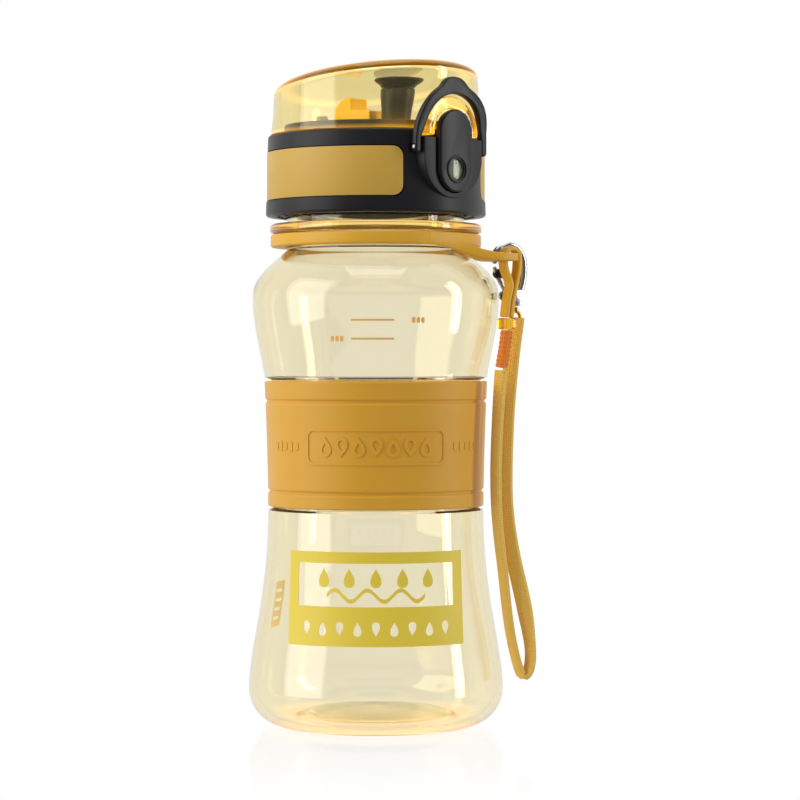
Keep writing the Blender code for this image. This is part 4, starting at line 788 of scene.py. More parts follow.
def end_group(tree, shape, given, result):
    """What every group ends in: real geometry, with its finish set."""
    real = tree.nodes.new("GeometryNodeRealizeInstances")
    coat = tree.nodes.new("GeometryNodeSetMaterial")
    tree.links.new(shape, real.inputs[0])
    tree.links.new(real.outputs[0], coat.inputs["Geometry"])
    tree.links.new(given.outputs["Finish"], coat.inputs["Material"])
    tree.links.new(coat.outputs[0], result.inputs[0])
    return tree


def winding_tree():
    """Group: a spiral of given radius, lead and turns, swept with a small many-sided section."""
    tree, given, result = new_group("winding", (
        ("Radius", "Float", 10 * MM), ("Lead", "Float", 4 * MM), ("Turns", "Float", 1.0),
        ("Section", "Float", MM), ("Sides", "Int", 4), ("Steps", "Int", 64)))
    nodes, link = tree.nodes, tree.links.new
    spiral = nodes.new("GeometryNodeCurveSpiral")
    rise = nodes.new("ShaderNodeMath")
    rise.operation = "MULTIPLY"
    link(given.outputs["Lead"], rise.inputs[0])
    link(given.outputs["Turns"], rise.inputs[1])
    link(rise.outputs[0], spiral.inputs["Height"])
    link(given.outputs["Steps"], spiral.inputs["Resolution"])
    link(given.outputs["Turns"], spiral.inputs["Rotations"])
    link(given.outputs["Radius"], spiral.inputs["Start Radius"])
    link(given.outputs["Radius"], spiral.inputs["End Radius"])
    section = nodes.new("GeometryNodeCurvePrimitiveCircle")
    link(given.outputs["Sides"], section.inputs["Resolution"])
    link(given.outputs["Section"], section.inputs["Radius"])
    sweep = nodes.new("GeometryNodeCurveToMesh")
    sweep.inputs["Fill Caps"].default_value = True
    link(spiral.outputs[0], sweep.inputs["Curve"])
    link(section.outputs[0], sweep.inputs["Profile Curve"])
    return end_group(tree, sweep.outputs[0], given, result)


def grown(name, tree, values, start=None):
    """What a tree makes, as a plain mesh."""
    made = linked(name, start or bpy.data.meshes.new(name))
    step = made.modifiers.new("grow", "NODES")
    step.node_group = tree
    sockets = {item.name: item.identifier for item in tree.interface.items_tree if item.in_out == "INPUT"}
    for label, value in values.items():
        step[sockets[label]] = value
    return settle(made)


WINDING = winding_tree()


def wound(name, radius, lead, turns, section, sides, steps, finish, matrix):
    """A winding, stood where it belongs, its faces outwards."""
    made = grown(name, WINDING, {"Radius": radius, "Lead": lead, "Turns": turns, "Section": section,
                                 "Sides": sides, "Steps": steps, "Finish": finish.material})
    made.data.transform(matrix)
    with opened(made.data) as work:
        bmesh.ops.recalc_face_normals(work, faces=work.faces)
    return made


# %% The bottle
def make_bottle():
    outside, inside = body_outline(), body_outline(BOTTLE_WALL)
    foot_centre = FOOT_RADIUS - FOOT_CORNER
    flange = (corner(FLANGE_RADIUS, FLANGE_BOTTOM, 0.8 * MM, -90, 0, 5)
              + corner(FLANGE_RADIUS, FLANGE_TOP, 0.8 * MM, 0, 90, 5))
    neck = ([(NECK_RADIUS, FLANGE_BOTTOM)] + flange
            + [(NECK_RADIUS, FLANGE_TOP), (NECK_RADIUS, FLANGE_TOP + 2.6 * MM),
               (THREAD_ROOT, FLANGE_TOP + 3.3 * MM)]
            + corner(THREAD_ROOT, RIM, 0.6 * MM, 0, 90, 4) + corner(NECK_BORE, RIM, 0.4 * MM, 90, 180, 4))
    punt = ([(foot_centre - 2.2 * MM, 0.0)]
            + curve((foot_centre - 2.6 * MM, 0.1 * MM), (foot_centre - 5.0 * MM, 1.8 * MM),
                    (foot_centre - 9.0 * MM, PUNT_HEIGHT - 0.4 * MM), (0.0, PUNT_HEIGHT), 16))
    floor_line = [(r, h + BOTTLE_WALL) for r, h in punt[1:]]
    throat = curve(inside[-1], (inside[-1][0] - 0.7 * MM, inside[-1][1] + 0.7 * MM),
                   (NECK_BORE, NECK_BASE + 0.2 * MM), (NECK_BORE, NECK_BASE + 1.4 * MM), 6)[1:]
    profile = floor_line[::-1] + inside + throat + neck[::-1] + outside[::-1] + punt
    bottle = turned("bottle_wall", profile)
    ridge = wound("neck_ridge", THREAD_ROOT + 0.2 * MM, THREAD_LEAD, THREAD_TURNS, 0.95 * MM, 6, 150, AMBER,
                  Matrix.Translation((0, 0, FLANGE_TOP + 6.2 * MM)))
    return joined(bottle, ridge)


bottle = finished(make_bottle(), AMBER, "bottle_body", 40)
print("bottle faces:", len(bottle.data.polygons))

# %% [markdown]
# ## The grip sleeve
#
# A silicone band with a rib at each edge, turned like the bottle it sits on. Its raised badge
# is drawn flat, sliced into narrow strips and laid round the sleeve: the badge is a plain
# rounded frame with a row of drops, and a few short marks stand further round on each side.


# %% Flat drawings laid round a turned surface
def laid_round(name, outlines, radius_at, facing, height, lift, thickness, finish, body, step=1.2 * MM):
    """Outlines drawn flat, (sideways, up) from their middle, laid round the bottle."""
    flat = plate(name, outlines, thickness)
    with opened(flat.data) as work:
        for axis, apart in ((0, step), (2, 3 * step)):
            places = [v.co[axis] for v in work.verts]
            low, high = min(places), max(places)
            count = max(int((high - low) / apart), 1)
            for i in range(1, count):
                where = [low + (high - low) * i / count if k == axis else 0 for k in range(3)]
                bmesh.ops.bisect_plane(work, geom=work.verts[:] + work.edges[:] + work.faces[:],
                                       plane_co=where,
                                       plane_no=[float(k == axis) for k in range(3)], dist=1e-7)
        for vertex in work.verts:
            z = height + vertex.co.z
            radius = radius_at(z)
            angle, reach = facing + vertex.co.x / radius, radius + lift - vertex.co.y
            vertex.co = (reach * math.cos(angle), reach * math.sin(angle), z)
        bmesh.ops.recalc_face_normals(work, faces=work.faces)
    return added(flat, finish, body)


def rounded_box(width, height, rounding, across=0.0, up=0.0, count=6):
    """A rounded rectangle's outline about a middle."""
    w, h = width / 2 - rounding, height / 2 - rounding
    return [point for k, (side, top) in enumerate(((1, 1), (-1, 1), (-1, -1), (1, -1)))
            for point in arc((across + side * w, up + top * h), rounding, 90 * k, 90 * k + 90, count)]


def drop(width, height, across=0.0, up=0.0, flip=1):
    """A water drop standing on its round end, or hanging from it."""
    r = width / 2
    tip = (across, up + flip * (height / 2))
    centre = (across, up - flip * (height / 2 - r))
    begin, end, lean = (180, 360, 0.1 * width) if flip > 0 else (0, 180, -0.1 * width)
    round_end = arc(centre, r, begin, end, 14)
    shoulder, neck = flip * 0.35 * height, tip[1] - flip * 0.2 * height
    (x0, z0), (x1, z1) = round_end[0], round_end[-1]
    right = curve((x1, z1), (x1, z1 + shoulder), (tip[0] + lean, neck), tip, 6)
    left = curve(tip, (tip[0] - lean, neck), (x0, z0 + shoulder), (x0, z0), 6)
    return round_end[:-1] + right[:-1] + left[:-1]


# %% The sleeve and its badge
def sleeve_radius(height):
    share = (height - SLEEVE_BOTTOM) / (SLEEVE_TOP - SLEEVE_BOTTOM)
    return WAIST_RADIUS + (CHEST_RADIUS - WAIST_RADIUS) * share ** 1.6


def make_sleeve():
    low_groove, high_groove = SLEEVE_BOTTOM + SLEEVE_EDGE_BAND, SLEEVE_TOP - SLEEVE_EDGE_BAND - 1.2 * MM
    rows = []
    count = 120
    for i in range(count + 1):
        z = SLEEVE_TOP - (SLEEVE_TOP - SLEEVE_BOTTOM) * i / count
        radius = sleeve_radius(z)
        for groove in (low_groove, high_groove):
            radius -= SLEEVE_GROOVE * math.exp(-(((z - groove) / (0.5 * MM)) ** 4))
        edge = min(z - SLEEVE_BOTTOM, SLEEVE_TOP - z)
        radius -= 0.35 * MM * max(0.0, 1 - edge / (0.4 * MM)) ** 2
        rows.append((radius, z))
    inside = [(WAIST_RADIUS - SLEEVE_WALL, SLEEVE_BOTTOM), (CHEST_RADIUS - SLEEVE_WALL, SLEEVE_TOP)]
    return turned("sleeve", rows + inside, closed=True)


finished(make_sleeve(), SLEEVE, "grip_sleeve")
BADGE = (40.0 * MM, 9.8 * MM)
BADGE_HEIGHT = (SLEEVE_BOTTOM + SLEEVE_TOP) / 2 - 0.3 * MM
badge_frame = [rounded_box(*BADGE, 2.2 * MM),
               rounded_box(BADGE[0] - 1.3 * MM, BADGE[1] - 1.3 * MM, 1.6 * MM)[::-1]]


def raised(name, outlines, turn=0.0, thickness=0.7 * MM):
    """A shape moulded on the sleeve at the badge's height, some degrees round from the front."""
    laid_round(name, outlines, sleeve_radius, FACING + math.radians(turn), BADGE_HEIGHT, -0.1 * MM,
               thickness, SLEEVE, "bottle")


raised("badge_frame", badge_frame)
for i in range(7):
    place, flip = (i - 3) * 4.7 * MM, 1 if i % 2 == 0 else -1
    ring_outline = [drop(3.6 * MM, 5.4 * MM, place, 0.0, flip),
                    drop(1.7 * MM, 2.8 * MM, place, -0.35 * MM * flip, flip)[::-1]]
    raised(f"badge_drop_{i + 1}", ring_outline)
for side, turn in (("left", -54.0), ("right", 54.0)):
    for i in range(5):
        across = (i - 2) * 2.3 * MM
        mark_outline = [rounded_box(1.5 * MM, (2.9 if i % 2 else 2.2) * MM, 0.6 * MM, across, 0.0)]
        raised(f"sleeve_mark_{side}_{i + 1}", mark_outline, turn, 0.55 * MM)
print("badge made")

# %% [markdown]
# ## The print
#
# Ink sits on the clear wall as a skin a tenth of a millimetre thick. The panel is a solid frame
# with a clear window over a solid strip. In the window there is a generic wave with drops, and
# the strip has small drops left out of it. Higher up, two lines with dots beside them mark the
# level, and a narrow patch sits further round.

# %% Print on the clear wall
INK_LIFT, INK_THICKNESS = 0.12 * MM, 0.12 * MM
PANEL = (52.0 * MM, 25.0 * MM)
PANEL_HEIGHT = 37.4 * MM
WINDOW = (45.4 * MM, 11.5 * MM)
WINDOW_UP = 3.7 * MM


def panel_outlines(width, height, window, window_up):
    """The solid frame with its window and a row of drops left out of the strip."""
    outlines = [rounded_box(width, height, 0.3 * MM), rounded_box(*window, 0.3 * MM, 0.0, window_up)[::-1]]
    strip_up = -height / 2 + 4.6 * MM
    for i in range(9):
        across = (i - 4) * window[0] / 9.2
        outlines.append(drop(2.2 * MM, 3.8 * MM, across, strip_up, 1 if i % 2 else -1)[::-1])
    return outlines


def wave(width, height, weight, up, swings, count=60):
    """A band of even weight that rises and falls."""
    middle = [(width * (i / count - 0.5), up + height / 2 * math.sin(2 * math.pi * swings * i / count))
              for i in range(count + 1)]
    return [(x, z + weight / 2) for x, z in middle[::-1]] + [(x, z - weight / 2) for x, z in middle]


def inked(name, outlines, facing, height, ink=INK):
    """One shape of the print, laid on the wall."""
    laid_round(name, outlines, body_radius, facing, height, INK_LIFT, INK_THICKNESS, ink, "bottle")


inked("print_panel", panel_outlines(*PANEL, WINDOW, WINDOW_UP), FACING, PANEL_HEIGHT)
inked("print_wave", [wave(27 * MM, 3.0 * MM, 1.1 * MM, WINDOW_UP - 2.8 * MM, 3)], FACING, PANEL_HEIGHT)
for i in range(5):
    inked(f"print_drop_{i + 1}", [drop(3.0 * MM, 5.2 * MM, (i - 2) * 7.2 * MM, WINDOW_UP + 1.9 * MM)],
          FACING, PANEL_HEIGHT)
PATCH_LINES = [rounded_box(4.6 * MM, 0.9 * MM, 0.3 * MM, 0.0, up * MM)[::-1] for up in (-4.0, -1.4, 1.2, 3.8)]
inked("side_patch", [rounded_box(7 * MM, 13 * MM, 0.5 * MM), *PATCH_LINES], FACING - math.radians(112),
      33 * MM)
for i, height in enumerate((112.0 * MM, 107.0 * MM)):
    inked(f"level_line_{i + 1}", [rounded_box(11.6 * MM, 0.5 * MM, 0.2 * MM, -0.9 * MM, count=2)], FACING,
          height, PALE_INK)
    across = (11.5 * MM, -10.5 * MM)[i]
    for k in range(3):
        inked(f"level_dot_{i + 1}_{k + 1}",
              [rounded_box(0.9 * MM, 1.5 * MM, 0.3 * MM, across + (k - 1) * 1.3 * MM, 0.0, 3)],
              FACING, height, PALE_INK)
print("print made")

# %% [markdown]
# ## The cap
#
# A black moulded shell: a skirt with a shallow recess for the soft band, a raised deck, a boss
# for the latch at the front and two ears for the hinge at the back. It is turned, then the boss
# and ears are joined and the pockets are cut, as a mould would leave them.


# %% The cap
def cap_radius(height):
    return CAP_RADIUS - CAP_TAPER * (height - CAP_BOTTOM) / (DECK_TOP - CAP_BOTTOM)


def band_sheet(name, margin, radius, thickness):
    """The soft band's outline with round corners, wrapped round the cap and thickened inwards."""
    low, high = BAND_LOW - margin, BAND_HIGH + margin
    reach = math.pi - BAND_OPENING + margin / radius
    rounding = BAND_CORNER / radius
    stations = [(reach - rounding + rounding * math.sin(t), BAND_CORNER * (1 - math.cos(t)))
                for t in (math.radians(a) for a in range(90, -1, -10))]
    count = 110
    ends = stations[::-1]
    stations += [((reach - rounding) * (1 - 2 * i / count), 0.0) for i in range(1, count)]
    stations += [(-turn, drop_) for turn, drop_ in ends]
    work = bmesh.new()
    columns = []
    for turn, drop_ in stations:
        angle = math.pi / 2 + turn
        columns.append([work.verts.new((radius * math.cos(angle), radius * math.sin(angle), z))
                        for z in (low + drop_, high - drop_)])
    for (a, b), (c, d) in zip(columns, columns[1:]):
        work.faces.new((a, b, d, c))
    made = from_work(name, work)
    shell = made.modifiers.new("thickness", "SOLIDIFY")
    shell.thickness, shell.offset = thickness, -1
    return settle(made)


def make_cap():
    outer_top, inner = CAP_RADIUS - CAP_TAPER, LINER_RADIUS + GAP
    deck_underside = DECK_TOP - CAP_DECK
    profile = ([(0, PLATFORM_TOP)] + corner(PLATFORM_RADIUS, PLATFORM_TOP, 0.5 * MM, 90, 0, 4)
               + [(PLATFORM_RADIUS, DECK_TOP)] + corner(outer_top, DECK_TOP, 0.7 * MM, 90, 0, 5)
               + corner(CAP_RADIUS, CAP_BOTTOM, 0.8 * MM, 0, -90, 5)
               + [(inner, CAP_BOTTOM), (inner, deck_underside), (0, deck_underside)])
    cap = turned("cap_shell", profile)
    depth = BOSS_FACE - inner - 0.2 * MM
    boss_outline = (arc((0, BOSS_BOTTOM + BOSS_HALF), BOSS_HALF, 180, 360, 48)
                    + [(BOSS_HALF, BOSS_TOP), (-BOSS_HALF, BOSS_TOP)])
    boss = plate("boss", [boss_outline], depth, at=-BOSS_FACE + depth / 2, rounding=0.35 * MM)
    ear_outline = (arc((HINGE_Y, HINGE_Z), HINGE_BARREL, -20, 180, 28)
                   + [(HINGE_Y - HINGE_BARREL, HINGE_Z - 3 * MM), (HINGE_Y - 2.2 * MM, HINGE_Z - 7 * MM)])
    cap = joined(cap, boss, *pair("ear", ear_outline, EAR, 0.3 * MM))
    half = BUTTON_HALF + 1.15 * GAP
    floor_at = inner + 0.9 * MM
    pocket_outline = (arc((0, BUTTON_BOTTOM + BUTTON_HALF), half, 180, 360, 40)
                      + [(half, DECK_TOP + MM), (-half, DECK_TOP + MM)])
    recess = band_sheet("recess", GAP, cap_radius((BAND_LOW + BAND_HIGH) / 2) + MM, BAND_THICKNESS + GAP + MM)
    cutters = [recess,
               plate("pocket", [pocket_outline], 5 * MM, at=-floor_at - 2.5 * MM),
               box("notch", (-LUG_OUTER - GAP, -BUTTON_FACE - MM, LUG_CENTRE - MM - GAP),
                   (LUG_OUTER + GAP, -math.sqrt(LUG_BACK ** 2 - LUG_OUTER ** 2) + GAP, DECK_TOP + MM)),
               cross_rod("relief", -KNUCKLE[1] - 0.15 * MM, KNUCKLE[1] + 0.15 * MM, HINGE,
                         HINGE_BARREL + 0.4 * MM),
               cross_rod("hinge_hole", -EAR[1] - MM, EAR[1] + MM, HINGE, HINGE_PIN + GAP),
               rod("spout_hole", (0, SPOUT_Y, DECK_TOP - 5 * MM), (0, SPOUT_Y, PLATFORM_TOP + MM),
                   SPOUT_RADIUS + GAP),
               cross_rod("button_pin_hole", -BOSS_HALF + 1.2 * MM, BOSS_HALF - 1.2 * MM, BUTTON_PIVOT,
                         BUTTON_PIN + GAP)]
    for sign in (-1, 1):
        cutters += [cross_rod("eye_cut", sign * (BAIL_EYE[0] - GAP), sign * (BAIL_EYE[1] + 4 * MM),
                              BAIL_PIVOT,
                              BAIL_EYE_RADIUS + 0.4 * MM),
                    cross_rod("bail_hole", sign * (BAIL_EYE[0] - 2.1 * MM), sign * BAIL_EYE[1], BAIL_PIVOT,
                              BAIL_PIN + GAP)]
    return cut(cap, *cutters)


cap = finished(make_cap(), BLACK, "lid_shell", 28)
band_face = (cap_radius(BAND_LOW) + cap_radius(BAND_HIGH)) / 2
band = settle(soften(band_sheet("soft_band", 0.0, band_face, BAND_THICKNESS), 0.25 * MM, 2, 60))
finished(band, BAND, "lid_band")
print("cap faces:", len(cap.data.polygons))

# %% [markdown]
# ## The dome
#
# A clear flip cover. Its profile is turned, then its points are raised towards the latch in
# proportion to how far up they are, so the foot stays flat on the deck while the top slopes. The
# U-shaped lug at its front has a face that is an arc about the hinge, so it lifts clear.


# %% The dome
def dome_profile(inset):
    side, corner = DOME_RADIUS - DOME_DRAFT - inset, DOME_CORNER - inset
    rise, ceiling = DOME_SHOULDER, DOME_CROWN - inset
    shoulder = curve((side, rise), (side, rise + 0.62 * corner), (side - 0.45 * corner, ceiling - 1.1 * MM),
                     (side - 1.5 * corner, ceiling - 0.75 * MM), 18)
    crown = curve(shoulder[-1], (side * 0.6, ceiling - 0.3 * MM), (side * 0.3, ceiling), (0.0, ceiling), 10)
    wall = curve((side, rise), (side, 7.0 * MM), (side + 0.35 * DOME_DRAFT, 3.5 * MM),
                 (DOME_RADIUS - inset, 0.0), 8)
    return [(r, z + DOME_FOOT) for r, z in crown[::-1] + shoulder[-2::-1] + wall[1:]]


def slant(height, across):
    share = min(max((height - DOME_FOOT - 2 * MM) / (DOME_SHOULDER - 2 * MM), 0.0), 1.0)
    return -across * math.tan(DOME_SLOPE) * share


def make_lug():
    foot, back = LUG_CENTRE - MM, 25.6 * MM
    outline = (arc((0, LUG_CENTRE), LUG_OUTER, 0, 180, 56) + [(-LUG_OUTER, foot), (-LUG_INNER, foot)]
               + arc((0, LUG_CENTRE), LUG_INNER, 180, 0, 44) + [(LUG_INNER, foot), (LUG_OUTER, foot)])
    depth = LUG_REACH - back
    lug = plate("lug", [outline], depth, at=-back - depth / 2, rounding=0.6 * MM)
    sweep = HINGE_Y + LUG_REACH
    for vertex in lug.data.vertices:
        front = (-vertex.co.y - back) / depth
        face = sweep - math.sqrt(sweep ** 2 - (vertex.co.z - HINGE_Z) ** 2)
        root = math.sqrt(LUG_BACK ** 2 - vertex.co.x ** 2)
        vertex.co.y = -(root + (LUG_REACH - face - root) * front)
    return lug


def make_dome():
    dome = turned("clear_dome", dome_profile(0.0) + dome_profile(DOME_WALL)[::-1])
    for vertex in dome.data.vertices:
        vertex.co.z += slant(vertex.co.z, vertex.co.y)
    knuckle_outline = (arc((HINGE_Y, HINGE_Z), HINGE_BARREL, -170, 90, 30)
                       + [(DOME_RADIUS - 1.2 * MM, HINGE_Z + HINGE_BARREL),
                          (DOME_RADIUS - 1.2 * MM, DOME_FOOT + 0.1 * MM)])
    dome = joined(dome, make_lug(), *pair("knuckle", knuckle_outline, KNUCKLE, 0.25 * MM))
    return cut(dome, cross_rod("pin_hole", -KNUCKLE[1] - MM, KNUCKLE[1] + MM, HINGE, HINGE_PIN + GAP))


dome = finished(make_dome(), DOME_AMBER, "flip_lid", 38)
print("dome faces:", len(dome.data.polygons))

# %% [markdown]
# ## Under the dome
#
# The spout leans a little towards the latch. A trumpet-shaped stopper hangs from the dome's
# ceiling and seals it, and behind it sit the vent's bright rubber cap and a small grey valve.


# %% Spout, stopper, vent and valve
def leaned(made, foot, amount):
    for vertex in made.data.vertices:
        if vertex.co.z > foot:
            vertex.co.y -= (vertex.co.z - foot) * amount
    return made


def make_spout():
    foot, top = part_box("spout")[0].z, PLATFORM_TOP + SPOUT_HEIGHT
    lip = SPOUT_RADIUS + SPOUT_LIP
    profile = (corner(SPOUT_BORE, top, 0.4 * MM, 180, 90, 4) + corner(lip, top, 0.5 * MM, 90, 0, 4)
               + curve((lip, top - 1.5 * MM), (lip - 0.1 * MM, top - 4 * MM),
                       (SPOUT_RADIUS, PLATFORM_TOP + 5 * MM), (SPOUT_RADIUS, PLATFORM_TOP + GAP), 8)
               + [(SPOUT_RADIUS, foot), (SPOUT_BORE, foot)])
    made = turned("mouthpiece", profile, steps=64, closed=True, at=(0, SPOUT_Y, 0))
    return leaned(made, PLATFORM_TOP + GAP, SPOUT_LEAN)


def make_stopper():
    foot, base = PLATFORM_TOP + SPOUT_HEIGHT + GAP, SPOUT_RADIUS + SPOUT_LIP
    top = foot + STOPPER_HEIGHT
    flare = curve((STOPPER_RADIUS, top - 0.5 * MM), (STOPPER_RADIUS - 0.4 * MM, top - 1.3 * MM),
                  (base + 0.3 * MM, foot + 0.9 * MM), (base, foot), 8)
    profile = ([(0, top)] + corner(STOPPER_RADIUS, top, 0.4 * MM, 90, 0, 4) + flare
               + [(SPOUT_BORE - 0.6 * MM, foot), (SPOUT_BORE - 0.8 * MM, foot - STOPPER_NOSE),
                  (0, foot - STOPPER_NOSE)])
    shift = SPOUT_LEAN * (SPOUT_HEIGHT + GAP)
    return leaned(turned("stopper", profile, steps=64, at=(0, SPOUT_Y - shift, 0)), foot, 2 * SPOUT_LEAN)


def make_vent():
    foot, height, y, length = PLATFORM_TOP + GAP, 8.2 * MM, 7.0 * MM, 7.0 * MM
    web = SPOUT_Y + SPOUT_RADIUS + 3.2 * MM
    outline = ([(y + length, foot), (y + length, foot + 0.58 * height)]
               + curve((y + length, foot + 0.58 * height), (y + length - MM, foot + 0.76 * height),
                       (y + 0.6 * length, foot + 0.92 * height), (y + 0.3 * length, foot + height), 8)[1:]
               + curve((y + 0.3 * length, foot + height), (y + 0.16 * length, foot + 1.0 * height),
                       (y, foot + height), (y, foot + 0.93 * height), 4)[1:]
               + [(y - 0.1 * MM, foot + 0.58 * height), (web + MM, foot + 0.52 * height),
                  (web, foot + 0.48 * height), (web, foot)])
    return plate("vent_cap", [outline], 6.4 * MM, facing="X", rounding=0.7 * MM)


def make_valve():
    foot, radius = PLATFORM_TOP + GAP, 1.7 * MM
    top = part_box("vent_valve")[1].z
    profile = ([(0, top)] + corner(radius, top, 0.3 * MM, 90, 0, 3)
               + [(radius, top - 1.2 * MM), (0.65 * radius, top - 1.6 * MM), (0.65 * radius, foot + 0.8 * MM),
                  (radius, foot + 0.8 * MM), (radius, foot), (0, foot)])
    low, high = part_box("vent_valve")
    return turned("valve", profile, steps=40, at=((low.x + high.x) / 2, (low.y + high.y) / 2, 0))


finished(make_spout(), BLACK_GLOSS, "spout")
finished(make_stopper(), BLACK_GLOSS, "spout_stopper")
finished(make_vent(), RUBBER, "vent_plug", 40)
finished(make_valve(), GREY, "vent_valve")

# %% [markdown]
# ## The latch
#
# A stadium-shaped rocker button with a small clear lens, and a lock ring that swings on two
# steel pins. The ring is cut flat and then leaned outwards over the lug, as its real arch does.


# %% Button, lens and lock ring
def make_button():
    lower, upper = (0, BUTTON_BOTTOM + BUTTON_HALF), (0, LUG_CENTRE)
    outline = arc(lower, BUTTON_HALF, 180, 360, 40) + arc(upper, BUTTON_HALF, 0, 180, 40)
    button = plate("rocker", [outline], BUTTON_THICKNESS, at=-BUTTON_FACE + BUTTON_THICKNESS / 2,
                   rounding=0.55 * MM)
    hub = cross_rod("hub", -BUTTON_HALF + MM, BUTTON_HALF - MM, BUTTON_PIVOT, BUTTON_HUB)
    button = joined(button, hub)
    ring_profile = ([(LENS_RADIUS + 1.25 * MM, -0.3 * MM)]
                    + arc((LENS_RADIUS + 0.75 * MM, 0.0), 0.35 * MM, 0, 180, 6)
                    + [(LENS_RADIUS + 0.35 * MM, -0.3 * MM)])
    collar = turned("collar", ring_profile[::-1], steps=64, closed=True)
    collar.data.transform(Matrix.Translation((0, -BUTTON_FACE - 0.02 * MM, LENS_HEIGHT)) @ FACE_FRONT)
    button = joined(button, collar)
    return cut(button, cross_rod("hub_hole", -9 * MM, 9 * MM, BUTTON_PIVOT, BUTTON_PIN + GAP),
               rod("lens_seat", (0, -BUTTON_FACE + LENS_DEPTH + GAP, LENS_HEIGHT),
                   (0, -BUTTON_FACE - MM, LENS_HEIGHT), LENS_RADIUS + 0.15 * MM))


def make_lens():
    back, front = LENS_DEPTH - BUTTON_FACE, 0.05 * MM - BUTTON_FACE
    low, rise = -back, -front
    profile = ([(0, rise)] + curve((0.0, rise), (1.2 * MM, rise), (2.0 * MM, rise - 0.1 * MM),
                                   (LENS_RADIUS, rise - 0.35 * MM), 8)[1:]
               + [(LENS_RADIUS, low), (0, low)])
    lens = turned("lens", profile, steps=64)
    lens.data.transform(Matrix.Translation((0, 0, LENS_HEIGHT)) @ FACE_FRONT)
    return lens


def make_bail():
    pivot, spring_line = BAIL_PIVOT[1], LUG_CENTRE + 0.1 * MM
    tab_foot = spring_line + BAIL_OUTER - 0.9 * MM
    right_outer = ([(BAIL_EYE[1], pivot), (BAIL_EYE[1], pivot + 2.5 * MM)]
                   + arc((0, spring_line), BAIL_OUTER, 2, 62, 22))
    tab = curve((BAIL_OUTER * math.cos(math.radians(66)), tab_foot - 0.15 * MM),
                (3.9 * MM, tab_foot + 0.9 * MM), (3.6 * MM, BAIL_TAB), (0.0, BAIL_TAB), 16)
    inner = [(BAIL_EYE[0], pivot + 2.6 * MM)] + arc((0, spring_line), BAIL_INNER, 8, 90, 26)
    foot = arc(((BAIL_EYE[0] + BAIL_EYE[1]) / 2, pivot - BAIL_EYE_RADIUS + 1.4 * MM),
               (BAIL_EYE[1] - BAIL_EYE[0]) / 2, 180, 360, 12)
    right = inner[::-1] + foot + right_outer + tab
    left = [(-x, z) for x, z in right[::-1]]
    bail = plate("lock_ring", [right[:-1] + left[:-1]], BAIL_THICKNESS, at=-BAIL_PIVOT[0], rounding=0.4 * MM)
    span = LUG_CENTRE + LUG_OUTER - pivot - 2 * MM
    for vertex in bail.data.vertices:
        rise = min(max((vertex.co.z - pivot - 2 * MM) / span, 0.0), 1.0)
        above = max(vertex.co.z - LUG_CENTRE - LUG_OUTER - MM, 0.0)
        vertex.co.y -= BAIL_LEAN * rise * rise * (3 - 2 * rise) - 0.12 * above
    holes = [cross_rod(f"bail_eye_{sign}", sign * 9 * MM, sign * 16 * MM, BAIL_PIVOT, BAIL_PIN + GAP,
                       steps=32)
             for sign in (-1, 1)]
    return cut(bail, *holes)


finished(make_button(), BLACK_GLOSS, "latch_button")
finished(make_lens(), LENS, "button_lens")
finished(make_bail(), BLACK_GLOSS, "lock_bail")
for side, sign in (("left", -1), ("right", 1)):
    pin = cross_rod(f"ring_pin_{side}", sign * (BAIL_EYE[0] - 1.8 * MM), sign * (BAIL_EYE[1] + 0.2 * MM),
                    BAIL_PIVOT, BAIL_PIN, steps=32, rounding=0.2 * MM)
    finished(pin, STEEL, f"bail_pin_{side}")
print("latch made")

# %% Leaf spring
def make_leaf():
    """An arched strip between the pocket's floor and the button's lower back."""
    inner, outer = BUTTON_FACE - LEAF_FOOT, BUTTON_FACE - BUTTON_THICKNESS - GAP
    low, high = BUTTON_BOTTOM + 3.2 * MM, LENS_HEIGHT + 1.4 * MM
    line = [(-inner - 0.1 * MM - (outer - inner - 0.3 * MM) * math.sin(math.pi * i / 20),
             low + (high - low) * i / 20) for i in range(21)]
    outline = [(y - 0.1 * MM, z) for y, z in line] + [(y + 0.1 * MM, z) for y, z in line[::-1]]
    return plate("leaf_spring", [outline], 3 * MM, facing="X")


leaf = finished(make_leaf(), STEEL, "button_spring")
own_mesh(leaf)
print("leaf spring:", len(leaf.data.polygons), "faces")

# %% [markdown]
# ## Hinge pin and springs
#
# The torsion spring is a close winding, so it comes from the same Geometry Nodes group as the
# neck's thread, with a round section and a smaller lead.

# %% Hinge
spring_length = 1.5 * KNUCKLE[0]
spring_place = (Matrix.Translation((-spring_length / 2, HINGE_Y, HINGE_Z))
                @ Matrix.Rotation(math.pi / 2, 4, "Y") @ Matrix.Rotation(-math.pi / 2, 4, "Z"))
spring = wound("torsion_spring", COIL_RADIUS, spring_length / COIL_TURNS, COIL_TURNS, SPRING_WIRE, 12, 160,
               STEEL, spring_place)
arm_foot = Vector((-0.75 * KNUCKLE[0], HINGE_Y - COIL_RADIUS, HINGE_Z))
arm = tube("spring_arm", [arm_foot, arm_foot + Vector((0, 0, 4.2 * MM))], SPRING_WIRE)
finished(joined(spring, arm), STEEL, "hinge_spring")
hinge_pin = cross_rod("hinge_rod", -EAR[1] + 0.2 * MM, EAR[1] - 0.2 * MM, HINGE, HINGE_PIN, steps=32,
                      rounding=0.2 * MM)
finished(hinge_pin, STEEL, "hinge_pin")
for node, finish in (("lid_liner", BLACK), ("lid_gasket", SEAL), ("spout_grommet", SEAL),
                     ("button_pin", STEEL), ("gate_pin", STEEL)):
    kept = frame["nodes"][node]
    kept.data.materials.clear()
    kept.data.materials.append(finish.material)
    smooth(kept, 30)
print("hinge made")

